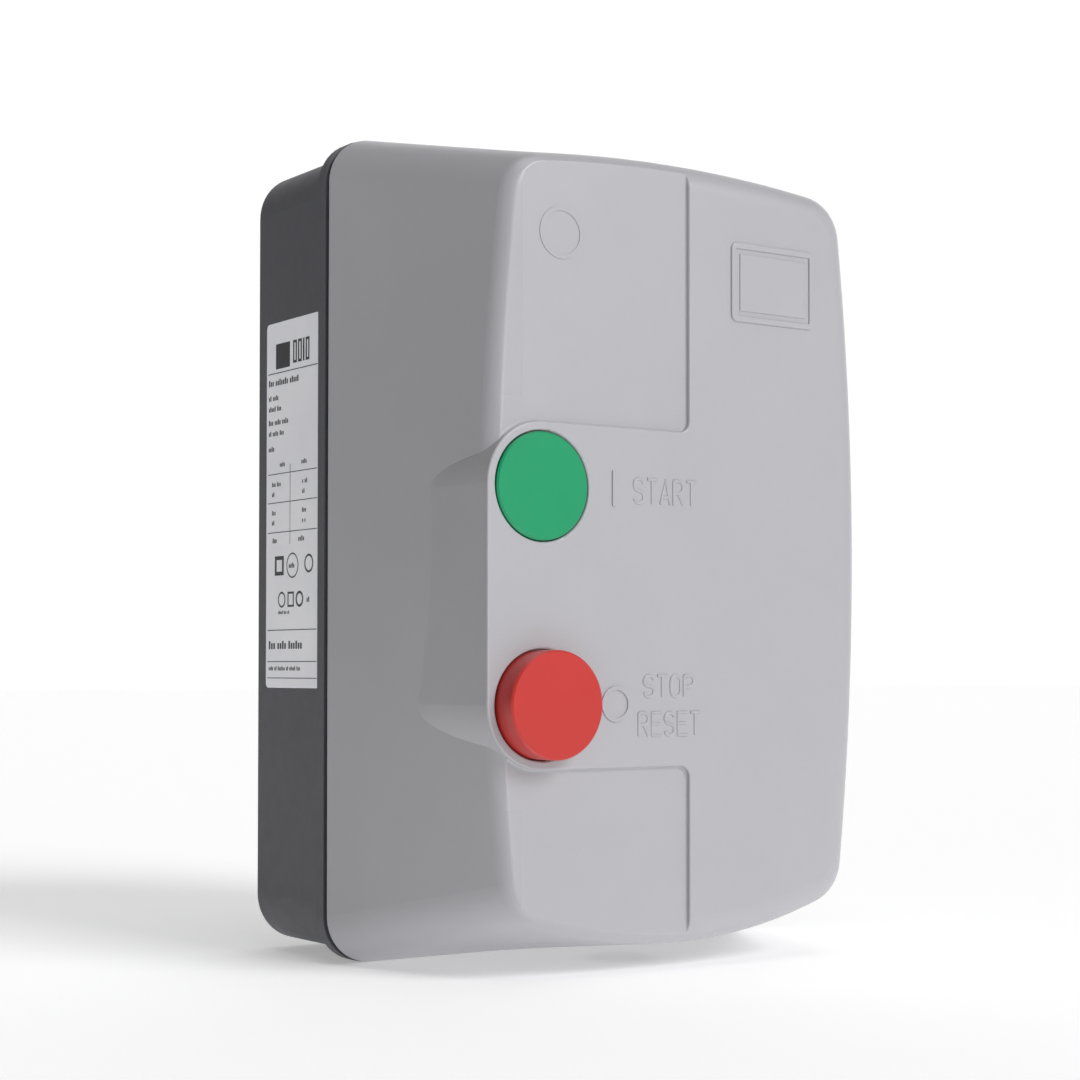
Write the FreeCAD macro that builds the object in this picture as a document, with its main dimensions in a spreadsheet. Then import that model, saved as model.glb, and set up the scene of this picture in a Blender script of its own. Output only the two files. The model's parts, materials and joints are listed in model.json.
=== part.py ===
import FreeCAD, Part
import math
import os
import re
import Sketcher

# Magnetic motor starter: a two-part enclosure with a contactor, a thermal overload relay
# and two push buttons. X is to the right seen from the front, +Y points into the wall, Z is up.
# The origin is the centre of the four wall holes, on the enclosure's back face.
V = FreeCAD.Vector

SIZES = {
    # enclosure, as seen from the front; depths are measured from the wall towards the front
    "rim_width": 126, "rim_height": 190, "rim_corner": 11, "rim_round": 0.5,
    "base_width": 123.4, "base_height": 186.4, "base_corner": 11.6,
    "base_wall": 2.6, "base_floor": 3, "flange_back": 32.4, "flange_front": 35.6,
    "flare_back": 30.6, "cover_back": 36.8, "face_depth": 91.5,
    "groove_inset": 0.9, "groove_width": 2, "groove_depth": 1.6, "gasket_height": 2.6,
    # wall holes, inner posts and knock-outs
    "wall_hole_x": 48, "wall_hole_z": 81.5, "wall_hole_bore": 5.2, "wall_boss": 10.5, "wall_boss_top": 6,
    "post_x": 44, "post_z": 70, "post_shift": -1, "post_bore": 3.3, "post_size": 8,
    "knockout_x": 28, "knockout_depth": 18, "knockout_outer": 20.5, "knockout_inner": 18.5,
    "knockout_cut": 1.6,
    # front of the cover: a barrel outline with bowed edges
    "face_x": -0.9, "face_half_width": 51.3, "face_half_top": 85.8, "face_half_bottom": 88.7,
    "side_bow": 584, "top_bow": 297, "bottom_bow": 113, "face_corner": 10.6, "edge_round": 6.4,
    "cover_wall": 2.5, "front_wall": 3, "recess_depth": 1.2, "recess_side": -0.6,
    "recess_corner": 2.5, "step_round": 0.5, "bore_round": 0.4,
    # push buttons and the drafted boss around them
    "button_x": -40.3, "start_z": 11.6, "stop_z": -35.3, "cap_size": 23.4, "cap_bore": 24.1,
    "start_proud": 0.3, "stop_proud": 6, "cap_wall": 2, "skirt_end": 86.5, "cap_edge": 0.4,
    "boss_radius": 14, "boss_back": 44, "boss_draft": 0.0963, "sleeve_radius": 13.6,
    "web_front": 82, "web_back": 80.5, "stem_size": 5, "stem_bore": 5.5, "clip_size": 9, "clip_back": 79.5,
    "start_stem_end": 78, "stop_stem_end": 70.7, "button_spring": 9.4, "button_wire": 0.9,
    # cover screws, which go in from the top and bottom walls
    "lug_depth": 64, "pocket_size": 16, "pocket_floor": 88.3, "pocket_inner": 86,
    "screw_shank": 3.9, "screw_bore": 4.5, "screw_head": 8, "screw_head_top": 90.3, "screw_tip": 77,
    "lug_outer": 85.7, "lug_inner": 82.7, "lug_half": 7, "lug_end": 70, "lug_slot": 2.3, "lug_slot_back": 59.5,
    "nut_outer": 82.4, "nut_inner": 79.2, "nut_half": 3.5,
    # marks on the front of the cover
    "mark_proud": 0.35, "ring_proud": 0.2, "ring_x": -34.7, "ring_z": 66.9, "ring_size": 11.4, "ring_line": 0.9,
    "start_mark_x": -21.6, "start_mark_low": 8.1, "start_mark_high": 15.8, "start_mark_wide": 0.9,
    "stop_mark_x": -21, "stop_mark_size": 7.8, "stop_mark_line": 0.8,
    "plate_left": 11.4, "plate_right": 36, "plate_low": 51.9, "plate_high": 70, "plate_proud": 0.5,
    # rating label on the left wall of the base
    "label_low": -32.1, "label_high": 55.2, "label_back": 4.2, "label_front": 30.8, "label_thick": 0.15,
    # mounting plate
    "plate_back": 6, "plate_front": 7.5, "mount_left": -52, "mount_right": 50,
    "mount_low": -76, "mount_top": 74, "mount_hole": 3.6, "plate_head": 2.4, "plate_shank_end": 3.4,
    # contactor, 45 mm wide, on its own centre line
    "pole_x": -25, "pole_pitch": 13, "unit_half": 22.5, "contactor_z": 30, "contactor_half": 35,
    "lower_front": 33, "upper_front": 60, "front_plate": 63,
    "plate_window_x": 5.4, "plate_window_z": 2.9, "housing_bore_end": 34.5,
    "well_half_x": 19.5, "well_half_z": 22, "well_back": 10,
    "core_half_z": 8, "yoke": 6, "leg_out": 17, "leg_in": 11, "mid_leg": 4, "core_back": 10.5, "core_front": 27,
    "armature_pole": 31, "armature_front": 43,
    "bobbin_back": 17, "bobbin_front": 26.5, "bobbin_half_x": 10.4, "bobbin_half_z": 15.5, "bobbin_flange": 1,
    "carrier_front": 58, "carrier_half_x": 17.4, "carrier_half_z": 6, "saddle_half_z": 12.6, "saddle_front": 45,
    "window_half_x": 3.4, "window_back": 47.4, "window_front": 56, "nub_front": 62.4,
    "bridge_half_x": 3, "bridge_half_z": 17.2, "bridge_front": 48.6, "tip_size": 4, "tip_z": 15.2, "tip_thick": 1,
    "strip_half_x": 3.5, "strip_back": 40, "strip_front": 41.2, "strip_inner": 13.2, "strip_outer": 34,
    "chamber_half_x": 4.8, "chamber_back": 38, "chamber_half_z": 27, "shaft_half_x": 18.6, "shaft_half_z": 13,
    "terminal_z": 30.5, "clamp_back": 44, "clamp_front": 45.2, "clamp_half": 3.7, "terminal_head": 6.4,
    "terminal_head_front": 47.8, "terminal_shank": 3.4, "terminal_shank_end": 35, "terminal_bore": 3.8,
    "slot_wide": 0.9, "slot_deep": 1.3, "return_spring": 4, "return_spring_z": 10.3, "contact_spring": 4.6,
    "spring_wire": 0.6, "coil_tab_x": 15, "coil_tab_z": 28.5, "coil_tab_back": 24, "coil_tab_front": 25.2,
    "tab_half": 3.2, "tab_slot_half": 4, "tab_slot_gap": 1.5, "tab_slot_front": 37, "tab_bore_end": 17,
    "tab_head": 5.6, "tab_head_back": 28, "tab_head_front": 30.4, "tab_shank_end": 18,
    "nub_half_x": 4.6, "nub_half_z": 2.2, "bobbin_wall": 1.2,
    "shade_half_x": 2.4, "shade_half_z": 5, "shade_line": 1, "shade_thick": 1.2,
    # start contact block on the front of the contactor
    "block_half_x": 6, "block_low": 2, "block_high": 22, "block_front": 75, "block_wall": 1.5,
    "block_hole": 6.4, "block_plunger": 5, "block_flange": 8, "block_flange_back": 71.5,
    "block_flange_front": 72.7, "block_plunger_front": 77.8, "block_bridge_half": 7.4, "block_strip_front": 65.3,
    "block_strip_half": 1.7, "block_bar": 0.8, "block_tip": 2.6, "block_tip_z": 6, "block_tip_deep": 1.3,
    "block_spring": 4.2, "block_strip_near": 4.4, "block_strip_far": 8.2, "block_end_wall": 1.2,
    # thermal overload relay below the contactor
    "relay_low": -68, "relay_high": -8, "relay_back": 12, "relay_split": 58, "relay_front": 66,
    "relay_cover_low": -56, "relay_wall": 1.6, "bimetal_y": 40, "bimetal_half_x": 2.4, "bimetal_thick": 1.2,
    "bimetal_low": -56, "bimetal_high": -28, "heater_low": -52, "heater_high": -34, "heater_half_x": 3.6,
    "heater_half_y": 2, "slider_low": -27.4, "slider_high": -23.4, "slider_back": 37, "slider_front": 43,
    "slider_bar": 1.8, "finger_gap": 3, "finger_wide": 1.4, "finger_low": -31, "finger_back": 38.5,
    "finger_front": 41.5, "relay_inside": 20, "relay_bore_end": 36, "shelf_half_z": 5.5, "shelf_reach": 5.2,
    "reset_size": 6, "reset_bore": 6.6, "reset_end": 50.5, "reset_tip": 70.4, "reset_flange": 8.6,
    "reset_flange_back": 62.4, "reset_flange_front": 63.6, "shelf_front": 54, "shelf_back": 52,
    "reset_spring": 8.2, "reset_spring_bore": 7,
    "dial_x": -14, "dial_z": -28, "dial_size": 9, "dial_bore": 9.5, "dial_front": 67.4, "dial_back": 63,
    "dial_shaft": 4, "dial_shaft_end": 59.5, "dial_edge": 0.5, "dial_slot_half": 0.6, "dial_slot_gap": 0.8,
    "bracket_half_x": 4, "bracket_half_z": 4.6, "bracket_back": 52,
    "lever_x": -9.5, "lever_z": -18.5, "arm_gap": 2.2, "arm_wide": 1.2, "arm_long": 9, "lever_pin": 2,
    "lever_bore": 2.15, "lever_hub": 5, "lever_half": 1, "lever_top": 4, "lever_back": 37.6,
    "lever_front": 42.4, "pin_front": 46,
    "link_half": 0.9, "link_shift": 2.7, "link_low": -13, "link_high": 2.6,
    "relay_terminal_z": -63.5, "relay_strip_back": 42, "relay_strip_front": 43.2,
    "relay_clamp_back": 46, "relay_clamp_front": 47.2, "relay_head_front": 49.8, "relay_shank_end": 36.6,
    # earth terminal on the mounting plate
    "earth_x": 34, "earth_z": -62, "earth_half": 5, "earth_front": 14,
    "earth_bore": 3.4, "earth_wire_y": 3.4, "earth_head": 2.6, "earth_shank": 1.6,
    # control wiring
    "control_wire": 2, "control_bend": 3.2, "wire_over": 7, "wire_shift": 2.8, "wire_left": 4,
    "wire_right": 6, "wire_block_y": 6, "wire_block_z": 4, "wire_relay_z": 20,
}

doc = FreeCAD.newDocument("MotorStarter")
sheet = doc.addObject("Spreadsheet::Sheet", "size")
for row, (alias, number) in enumerate(SIZES.items(), 1):
    sheet.set(f"A{row}", alias)
    sheet.set(f"B{row}", str(number))
    sheet.setAlias(f"B{row}", alias)
doc.recompute()

LEAST_BEND = 15
ROUND = {"x": FreeCAD.Rotation(V(0, 1, 0), 90), "y": FreeCAD.Rotation(V(1, 0, 0), -90),
         "z": FreeCAD.Rotation()}
pieces = []


def formula(text):
    """The text with each sheet alias written as a cell reference."""
    return re.sub(r"[a-z_]+[a-z0-9_]*",
                  lambda word: "size." + word.group() if word.group() in SIZES else word.group(), str(text))


def bind(item, prop, text):
    item.setExpression(prop, formula(text))


def size(text):
    """The number that a formula of sheet aliases gives."""
    return float(sheet.evalExpression(str(text)))


def named(label, item):
    """Register a finished sub-part under its node name."""
    item.Label = label
    pieces.append(item)
    return item


def block(x, y, z):
    """Box between a low and a high formula on each axis."""
    solid = doc.addObject("Part::Box", "block")
    for prop, axis, (low, high) in zip(("Length", "Width", "Height"), "xyz", (x, y, z)):
        bind(solid, prop, f"({high}) - ({low})")
        bind(solid, f"Placement.Base.{axis}", low)
    return solid


def around(centre, half):
    return f"{centre} - ({half})", f"{centre} + ({half})"


def depth(front, back):
    """Y range between two depths from the wall."""
    return f"-({front})", f"-({back})"


def rod(axis, centre, span, diameter):
    """Cylinder along an axis: centre holds the other two coordinates, span the low and high ends."""
    solid = doc.addObject("Part::Cylinder", "rod")
    bind(solid, "Radius", f"({diameter}) / 2")
    bind(solid, "Height", f"({span[1]}) - ({span[0]})")
    solid.Placement = FreeCAD.Placement(V(), ROUND[axis])
    others = [name for name in "xyz" if name != axis]
    for name, text in [(axis, span[0])] + list(zip(others, centre)):
        bind(solid, f"Placement.Base.{name}", text)
    return solid


def join(*solids):
    item = doc.addObject("Part::MultiFuse", "joined")
    item.Shapes = list(solids)
    item.Refine = True
    return item


def cut(base, *tools):
    item = doc.addObject("Part::Cut", "cut")
    item.Base = base
    item.Tool = tools[0] if len(tools) == 1 else join(*tools)
    item.Refine = True
    return item


def common(*solids):
    item = doc.addObject("Part::MultiCommon", "common")
    item.Shapes = list(solids)
    return item


def group(*solids):
    """Identical pieces kept as separate solids of one node."""
    item = doc.addObject("Part::Compound", "group")
    item.Links = list(solids)
    return item


def round_edges(item, radius, chosen):
    """Fillet the edges for which chosen(edge) is true."""
    doc.recompute()
    rounded = doc.addObject("Part::Fillet", "rounded")
    rounded.Base = item
    value = SIZES[radius]
    rounded.Edges = [(number, value, value) for number, edge in enumerate(item.Shape.Edges, 1) if chosen(edge)]
    return rounded


def along(axis):
    """Chooser of straight edges parallel to an axis."""
    direction = {"x": V(1, 0, 0), "y": V(0, 1, 0), "z": V(0, 0, 1)}[axis]

    def chosen(edge):
        if edge.Curve.TypeId != "Part::GeomLine":
            return False
        return edge.tangentAt(edge.FirstParameter).cross(direction).Length < 1e-6
    return chosen


def at_depth(y):
    """Chooser of edges that lie in one plane across the enclosure's depth."""
    def chosen(edge):
        return all(abs(vertex.Y - y) < 1e-4 for vertex in edge.Vertexes)
    return chosen


def bend(item, edge):
    """Angle, in degrees, between the two faces that meet at the middle of an edge."""
    faces = item.Shape.ancestorsOfType(edge, Part.Face)
    point = edge.valueAt((edge.FirstParameter + edge.LastParameter) / 2)
    normals = [face.normalAt(*face.Surface.parameter(point)) for face in faces]
    return math.degrees(normals[0].getAngle(normals[-1]))


def new_body(label, finished=True):
    """Empty body; a finished one is a sub-part by itself, any other is a piece of one."""
    body = doc.addObject("PartDesign::Body", label)
    return named(label, body) if finished else body


def new_sketch(body, role, offset="0"):
    """Sketch on one of the body's own origin planes, moved along the plane's normal."""
    sketch = body.newObject("Sketcher::SketchObject", "sketch")
    plane = [item for item in body.Origin.OriginFeatures if item.Role == role][0]
    sketch.AttachmentSupport = (plane, [""])
    sketch.MapMode = "FlatFace"
    bind(sketch, "AttachmentOffset.Base.z", offset)
    return sketch


def dimension(sketch, kind, places, text):
    """Driving constraint bound to a formula; places are Sketcher's geometry and point numbers."""
    index = sketch.addConstraint(Sketcher.Constraint(kind, *places, size(text)))
    bind(sketch, f"Constraints[{index}]", text)


def polygon(sketch, points):
    """Closed outline through points given as pairs of formulas."""
    values = [V(size(x), size(y), 0) for x, y in points]
    count = len(points)
    first = sketch.GeometryCount
    for i in range(count):
        sketch.addGeometry(Part.LineSegment(values[i], values[(i + 1) % count]), False)
    for i in range(count):
        sketch.addConstraint(Sketcher.Constraint("Coincident", first + i, 2, first + (i + 1) % count, 1))
    for i, (x, y) in enumerate(points):
        dimension(sketch, "DistanceX", (-1, 1, first + i, 1), x)
        dimension(sketch, "DistanceY", (-1, 1, first + i, 1), y)


def circle(sketch, x, y, diameter):
    index = sketch.addGeometry(Part.Circle(V(size(x), size(y), 0), V(0, 0, 1), size(diameter) / 2), False)
    dimension(sketch, "Diameter", (index,), diameter)
    dimension(sketch, "DistanceX", (-1, 1, index, 3), x)
    dimension(sketch, "DistanceY", (-1, 1, index, 3), y)


def rounded_rectangle(sketch, width, height, corner):
    """Rectangle centred on the sketch origin with round corners."""
    w, h, r = size(width) / 2, size(height) / 2, size(corner)
    centres = [V(w - r, h - r, 0), V(r - w, h - r, 0), V(r - w, r - h, 0), V(w - r, r - h, 0)]
    lines = [(V(w - r, h, 0), V(r - w, h, 0)), (V(-w, h - r, 0), V(-w, r - h, 0)),
             (V(r - w, -h, 0), V(w - r, -h, 0)), (V(w, r - h, 0), V(w, h - r, 0))]
    first = sketch.GeometryCount
    for i in range(4):
        start = math.pi / 2 * i
        round_part = Part.ArcOfCircle(Part.Circle(centres[i], V(0, 0, 1), r), start, start + math.pi / 2)
        sketch.addGeometry(round_part, False)
        sketch.addGeometry(Part.LineSegment(*lines[i]), False)
    for i in range(4):
        arc = first + 2 * i
        line = arc + 1
        following = first + (2 * i + 2) % 8
        sketch.addConstraint(Sketcher.Constraint("Tangent", arc, 2, line, 1))
        sketch.addConstraint(Sketcher.Constraint("Tangent", line, 2, following, 1))
        sketch.addConstraint(Sketcher.Constraint("Horizontal" if i % 2 == 0 else "Vertical", line))
        if i:
            sketch.addConstraint(Sketcher.Constraint("Equal", first, arc))
    sketch.addConstraint(Sketcher.Constraint("Symmetric", first + 1, 1, first + 5, 1, -1, 1))
    dimension(sketch, "Radius", (first,), corner)
    dimension(sketch, "DistanceX", (first + 5, 1, first + 5, 2), f"({width}) - 2 * ({corner})")
    dimension(sketch, "DistanceY", (first + 3, 2, first + 3, 1), f"({height}) - 2 * ({corner})")


def pad(body, sketch, length):
    item = body.newObject("PartDesign::Pad", "pad")
    item.Profile = sketch
    bind(item, "Length", length)
    body.Tip = item
    return item


def pocket(body, sketch, length):
    """Cut from the sketch plane; the volume has to fall."""
    doc.recompute()
    before = body.Shape.Volume
    item = body.newObject("PartDesign::Pocket", "pocket")
    item.Profile = sketch
    bind(item, "Length", length)
    body.Tip = item
    doc.recompute()
    if body.Shape.Volume > before - 1e-3:
        raise RuntimeError(f"{body.Label}: pocket cut nothing")
    return item


def revolve(body, sketch, axis):
    """Full turn about a line of the sketch."""
    item = body.newObject("PartDesign::Revolution", "revolution")
    item.Profile = sketch
    item.ReferenceAxis = (sketch, [axis])
    item.Angle = 360
    body.Tip = item
    return item


# ---------------------------------------------------------------- enclosure
def make_base():
    """Tray with a flared flange, gasket groove, posts, slotted cover lugs and closed knock-outs."""
    shell = new_body("base_shell", finished=False)
    outline = new_sketch(shell, "XZ_Plane")
    rounded_rectangle(outline, "base_width", "base_height", "base_corner")
    pad(shell, outline, "flange_back")
    flare = new_sketch(shell, "XZ_Plane", "flare_back")
    rounded_rectangle(flare, "base_width", "base_height", "base_corner")
    flared = pad(shell, flare, "flange_back - flare_back")
    bind(flared, "TaperAngle", "-atan((rim_width - base_width) / 2 / (flange_back - flare_back))")
    flange = new_sketch(shell, "XZ_Plane", "flange_back")
    rounded_rectangle(flange, "rim_width", "rim_height", "rim_corner")
    pad(shell, flange, "flange_front - flange_back")
    inside = new_sketch(shell, "XZ_Plane", "flange_front")
    rounded_rectangle(inside, "base_width - 2 * base_wall", "base_height - 2 * base_wall",
                      "base_corner - base_wall")
    pocket(shell, inside, "flange_front - base_floor")
    groove = new_sketch(shell, "XZ_Plane", "flange_front")
    rounded_rectangle(groove, "rim_width - 2 * groove_inset", "rim_height - 2 * groove_inset",
                      "rim_corner - groove_inset")
    inner = "groove_inset + groove_width"
    rounded_rectangle(groove, f"rim_width - 2 * ({inner})", f"rim_height - 2 * ({inner})",
                      f"rim_corner - ({inner})")
    pocket(shell, groove, "groove_depth")

    solids = [shell]
    holes = []
    for side in (-1, 1):
        for level in (-1, 1):
            x, z = f"{side} * wall_hole_x", f"{level} * wall_hole_z"
            solids.append(rod("y", (x, z), depth("wall_boss_top", "base_floor - 1"), "wall_boss"))
            holes.append(rod("y", (x, z), depth("wall_boss_top + 1", "-1"), "wall_hole_bore"))
            x, z = f"{side} * post_x + post_shift", f"{level} * post_z + post_shift"
            solids.append(rod("y", (x, z), depth("plate_back", "base_floor - 1"), "post_size"))
            holes.append(rod("y", (x, z), depth("plate_back + 1", "base_floor - 1"), "post_bore"))
    for level in (-1, 1):
        ends = sorted((f"{level} * lug_outer", f"{level} * lug_inner"), key=size)
        solids.append(block(around("0", "lug_half"), depth("lug_end", "base_floor - 1"), ends))
        rib = sorted((f"{level} * lug_outer", f"{level} * (base_height / 2 - 1)"), key=size)
        solids.append(block(around("0", "lug_slot"), depth("flange_back", "base_floor - 1"), rib))
        holes.append(block(around("0", "lug_slot"), depth("lug_end + 1", "lug_slot_back"), ends))
        for side in (-1, 1):
            centre = (f"{side} * knockout_x", "-knockout_depth")
            wall = sorted((f"{level} * (base_height / 2 - knockout_cut)",
                           f"{level} * (base_height / 2 + 1)"), key=size)
            ring = cut(rod("z", centre, wall, "knockout_outer"), rod("z", centre, wall, "knockout_inner"))
            holes.append(ring)
    named("base_housing", cut(join(*solids), *holes))


def make_gasket():
    body = new_body("gasket")
    sketch = new_sketch(body, "XZ_Plane", "flange_front - groove_depth")
    rounded_rectangle(sketch, "rim_width - 2 * groove_inset", "rim_height - 2 * groove_inset",
                      "rim_corner - groove_inset")
    inner = "groove_inset + groove_width"
    rounded_rectangle(sketch, f"rim_width - 2 * ({inner})", f"rim_height - 2 * ({inner})",
                      f"rim_corner - ({inner})")
    pad(body, sketch, "gasket_height")


def rim_outline(inset, y):
    """Rounded rectangle of the cover's open edge: right side first, then counter-clockwise."""
    w, h = size("rim_width") / 2 - inset, size("rim_height") / 2 - inset
    r = size("rim_corner") - inset
    s = r * math.sqrt(0.5)
    edges = []
    for sx, sz in ((1, 1), (-1, 1), (-1, -1), (1, -1)):
        centre = V(sx * (w - r), y, sz * (h - r))
        on_side, on_level = centre + V(sx * r, 0, 0), centre + V(0, 0, sz * r)
        middle = centre + V(sx * s, 0, sz * s)
        ends = (on_side, on_level) if sx * sz > 0 else (on_level, on_side)
        edges.append((ends[0], middle, ends[1]))
    parts = []
    for i, corner in enumerate(edges):
        before = edges[i - 1][2]
        parts.append(Part.makeLine(before, corner[0]))
        parts.append(Part.Arc(*corner).toShape())
    return Part.Wire(parts)


def face_outline(inset, y):
    """Barrel outline of the cover's front: four bowed edges joined by tangent corner arcs."""
    w = size("face_half_width") - inset
    side = size("side_bow") - inset
    corner = size("face_corner") - inset
    middle_x = size("face_x")
    edges = []
    for sx, sz in ((1, 1), (-1, 1), (-1, -1), (1, -1)):
        level = size("face_half_top" if sz > 0 else "face_half_bottom") - inset
        bow = size("top_bow" if sz > 0 else "bottom_bow") - inset
        c1, c2 = V(middle_x + sx * (w - side), y, 0), V(middle_x, y, sz * (level - bow))
        d = c1.distanceToPoint(c2)
        r1, r2 = side - corner, bow - corner
        a = (d * d + r1 * r1 - r2 * r2) / (2 * d)
        up = (c2 - c1).normalize()
        off = V(-up.z, 0, up.x)
        if (c1 + off).x * sx < c1.x * sx:
            off = -off
        centre = c1 + up * a + off * math.sqrt(r1 * r1 - a * a)
        on_side = c1 + (centre - c1) * (side / r1)
        on_level = c2 + (centre - c2) * (bow / r2)
        middle = centre + ((on_side - centre) + (on_level - centre)).normalize() * corner
        ends = (on_side, on_level) if sx * sz > 0 else (on_level, on_side)
        edges.append((ends[0], middle, ends[1]))
    crowns = (V(middle_x + w, y, 0), V(middle_x, y, size("face_half_top") - inset),
              V(middle_x - w, y, 0), V(middle_x, y, inset - size("face_half_bottom")))
    parts = []
    for i, points in enumerate(edges):
        parts.append(Part.Arc(edges[i - 1][2], crowns[i], points[0]).toShape())
        parts.append(Part.Arc(*points).toShape())
    return Part.Wire(parts)


def shape_feature(label, shape):
    item = doc.addObject("Part::Feature", label)
    item.Shape = shape
    item.Placement = FreeCAD.Placement()
    return item


def cover_form(inset, back, front):
    """Drafted body of the cover between the rim outline and the barrel outline."""
    loft = Part.makeLoft([rim_outline(inset, -back), face_outline(inset, -front)], True, True)
    return shape_feature("cover_form", loft)


def boss_form(inset, front):
    """Stadium around both buttons, straight in front of the panels' floor and drafted behind it."""
    x = size("button_x")
    top, bottom = size("start_z"), size("stop_z")
    floor = size("face_depth - recess_depth")
    wires = []
    for y in sorted({size("boss_back"), min(floor, front), front}):
        r = size("boss_radius") - inset + max(0, floor - y) * size("boss_draft")
        points = [V(x + r, -y, bottom), V(x + r, -y, top), V(x, -y, top + r), V(x - r, -y, top),
                  V(x - r, -y, bottom), V(x, -y, bottom - r)]
        sides = [Part.makeLine(points[0], points[1]), Part.makeLine(points[3], points[4])]
        ends = [Part.Arc(*points[1:4]).toShape(), Part.Arc(points[4], points[5], points[0]).toShape()]
        wires.append(Part.Wire([sides[0], ends[0], sides[1], ends[1]]))
    return shape_feature("boss_form", Part.makeLoft(wires, True, True))


def recess_tool(z, level, end):
    """Tool for one recessed panel, from the level beside a button to an end of the face."""
    y = depth("face_depth + 5", "face_depth - recess_depth")
    panel = block(("-rim_width", "recess_side"), y, sorted((level, end), key=size))
    panel = round_edges(panel, "recess_corner", along("y"))
    shoulder = block(("-rim_width", "button_x"), y, sorted((z, level), key=size))
    return cut(join(panel, shoulder), rod("y", ("button_x", z), y, "2 * boss_radius"))


def make_cover():
    """Front cover: bowed shell, button boss, recessed panels, screw pockets and raised marks."""
    front_y, panel_y, back_y = -size("face_depth"), -size("face_depth - recess_depth"), -size("cover_back")
    outer = cover_form(0, size("cover_back"), size("face_depth"))
    outer = round_edges(outer, "edge_round", at_depth(front_y))
    outer = round_edges(outer, "rim_round", at_depth(back_y))
    boss = boss_form(0, size("face_depth"))
    body = cut(join(outer, boss), recess_tool("start_z", "start_z + boss_radius", "rim_height"),
               recess_tool("stop_z", "stop_z - boss_radius", "-rim_height"))

    def step(edge):
        return (at_depth(front_y)(edge) or at_depth(panel_y)(edge)) and bend(body, edge) > LEAST_BEND
    doc.recompute()
    body_edges = round_edges(body, "step_round", step)
    inner_front = size("face_depth - front_wall")
    inner = cover_form(size("cover_wall"), size("cover_back") - 1, inner_front)
    inner_boss = boss_form(size("cover_wall"), inner_front)
    solids = [cut(body_edges, inner, inner_boss)]

    holes = []
    for z in ("start_z", "stop_z"):
        centre = ("button_x", z)
        solids.append(rod("y", centre, depth("face_depth - recess_depth", "web_back"), "2 * sleeve_radius"))
        holes.append(rod("y", centre, depth("face_depth + 1", "web_front"), "cap_bore"))
        holes.append(rod("y", centre, depth("face_depth + 1", "web_back - 1"), "stem_bore"))
    for level in (-1, 1):
        centre = ("0", "-lug_depth")
        pad_span = sorted((f"{level} * pocket_inner", f"{level} * (pocket_floor + 1.5)"), key=size)
        solids.append(common(rod("z", centre, pad_span, "pocket_size + 5"), outer))
        pocket_span = sorted((f"{level} * pocket_floor", f"{level} * rim_height / 2"), key=size)
        holes.append(rod("z", centre, pocket_span, "pocket_size"))
        bore_span = sorted((f"{level} * (pocket_inner - 1)", f"{level} * rim_height / 2"), key=size)
        holes.append(rod("z", centre, bore_span, "screw_bore"))
    shell = cut(join(*solids), *holes)

    def bore(edge):
        around_cap = len(edge.Vertexes) == 1 and edge.Length < math.pi * size("cap_bore") + 1
        return around_cap and at_depth(front_y)(edge)
    shell = round_edges(shell, "bore_round", bore)

    marks = []
    proud = depth("face_depth + mark_proud", "face_depth - 0.5")
    marks.append(block(around("start_mark_x", "start_mark_wide / 2"), proud,
                       ("start_mark_low", "start_mark_high")))
    marks.append(cut(rod("y", ("stop_mark_x", "stop_z"), proud, "stop_mark_size"),
                     rod("y", ("stop_mark_x", "stop_z"), proud, "stop_mark_size - 2 * stop_mark_line")))
    recessed = depth("face_depth - recess_depth + ring_proud", "face_depth - recess_depth - 0.5")
    marks.append(cut(rod("y", ("ring_x", "ring_z"), recessed, "ring_size"),
                     rod("y", ("ring_x", "ring_z"), recessed, "ring_size - 2 * ring_line")))
    named("cover", join(shell, *marks))


def make_nameplate():
    """Blank raised plate on the upper right of the cover."""
    body = new_body("nameplate")
    sketch = new_sketch(body, "XZ_Plane", "face_depth")
    polygon(sketch, [("plate_left", "plate_low"), ("plate_right", "plate_low"),
                     ("plate_right", "plate_high"), ("plate_left", "plate_high")])
    pad(body, sketch, "plate_proud")


def make_rating_label():
    body = new_body("rating_label")
    sketch = new_sketch(body, "YZ_Plane", "-base_width / 2 - label_thick")
    polygon(sketch, [("-label_front", "label_low"), ("-label_back", "label_low"),
                     ("-label_back", "label_high"), ("-label_front", "label_high")])
    pad(body, sketch, "label_thick")


def make_cover_fasteners():
    """Slotted screws and square nuts of the top and bottom lugs."""
    screws = []
    nuts = []
    centre = ("0", "-lug_depth")
    for level in (-1, 1):
        def span(low, high):
            return sorted((f"{level} * ({low})", f"{level} * ({high})"), key=size)
        head = rod("z", centre, span("pocket_floor", "screw_head_top"), "screw_head")
        shank = rod("z", centre, span("screw_tip", "pocket_floor + 0.5"), "screw_shank")
        slot = block(("-screw_head", "screw_head"), around("-lug_depth", "slot_wide / 2"),
                     span("screw_head_top - slot_deep", "screw_head_top + 1"))
        screws.append(cut(join(head, shank), slot))
        nut = block(around("0", "nut_half"), around("-lug_depth", "nut_half"), span("nut_inner", "nut_outer"))
        nuts.append(cut(nut, rod("z", centre, span("nut_inner - 1", "nut_outer + 1"), "screw_shank")))
    named("cover_screws", group(*screws))
    named("cover_nuts", group(*nuts))


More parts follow.
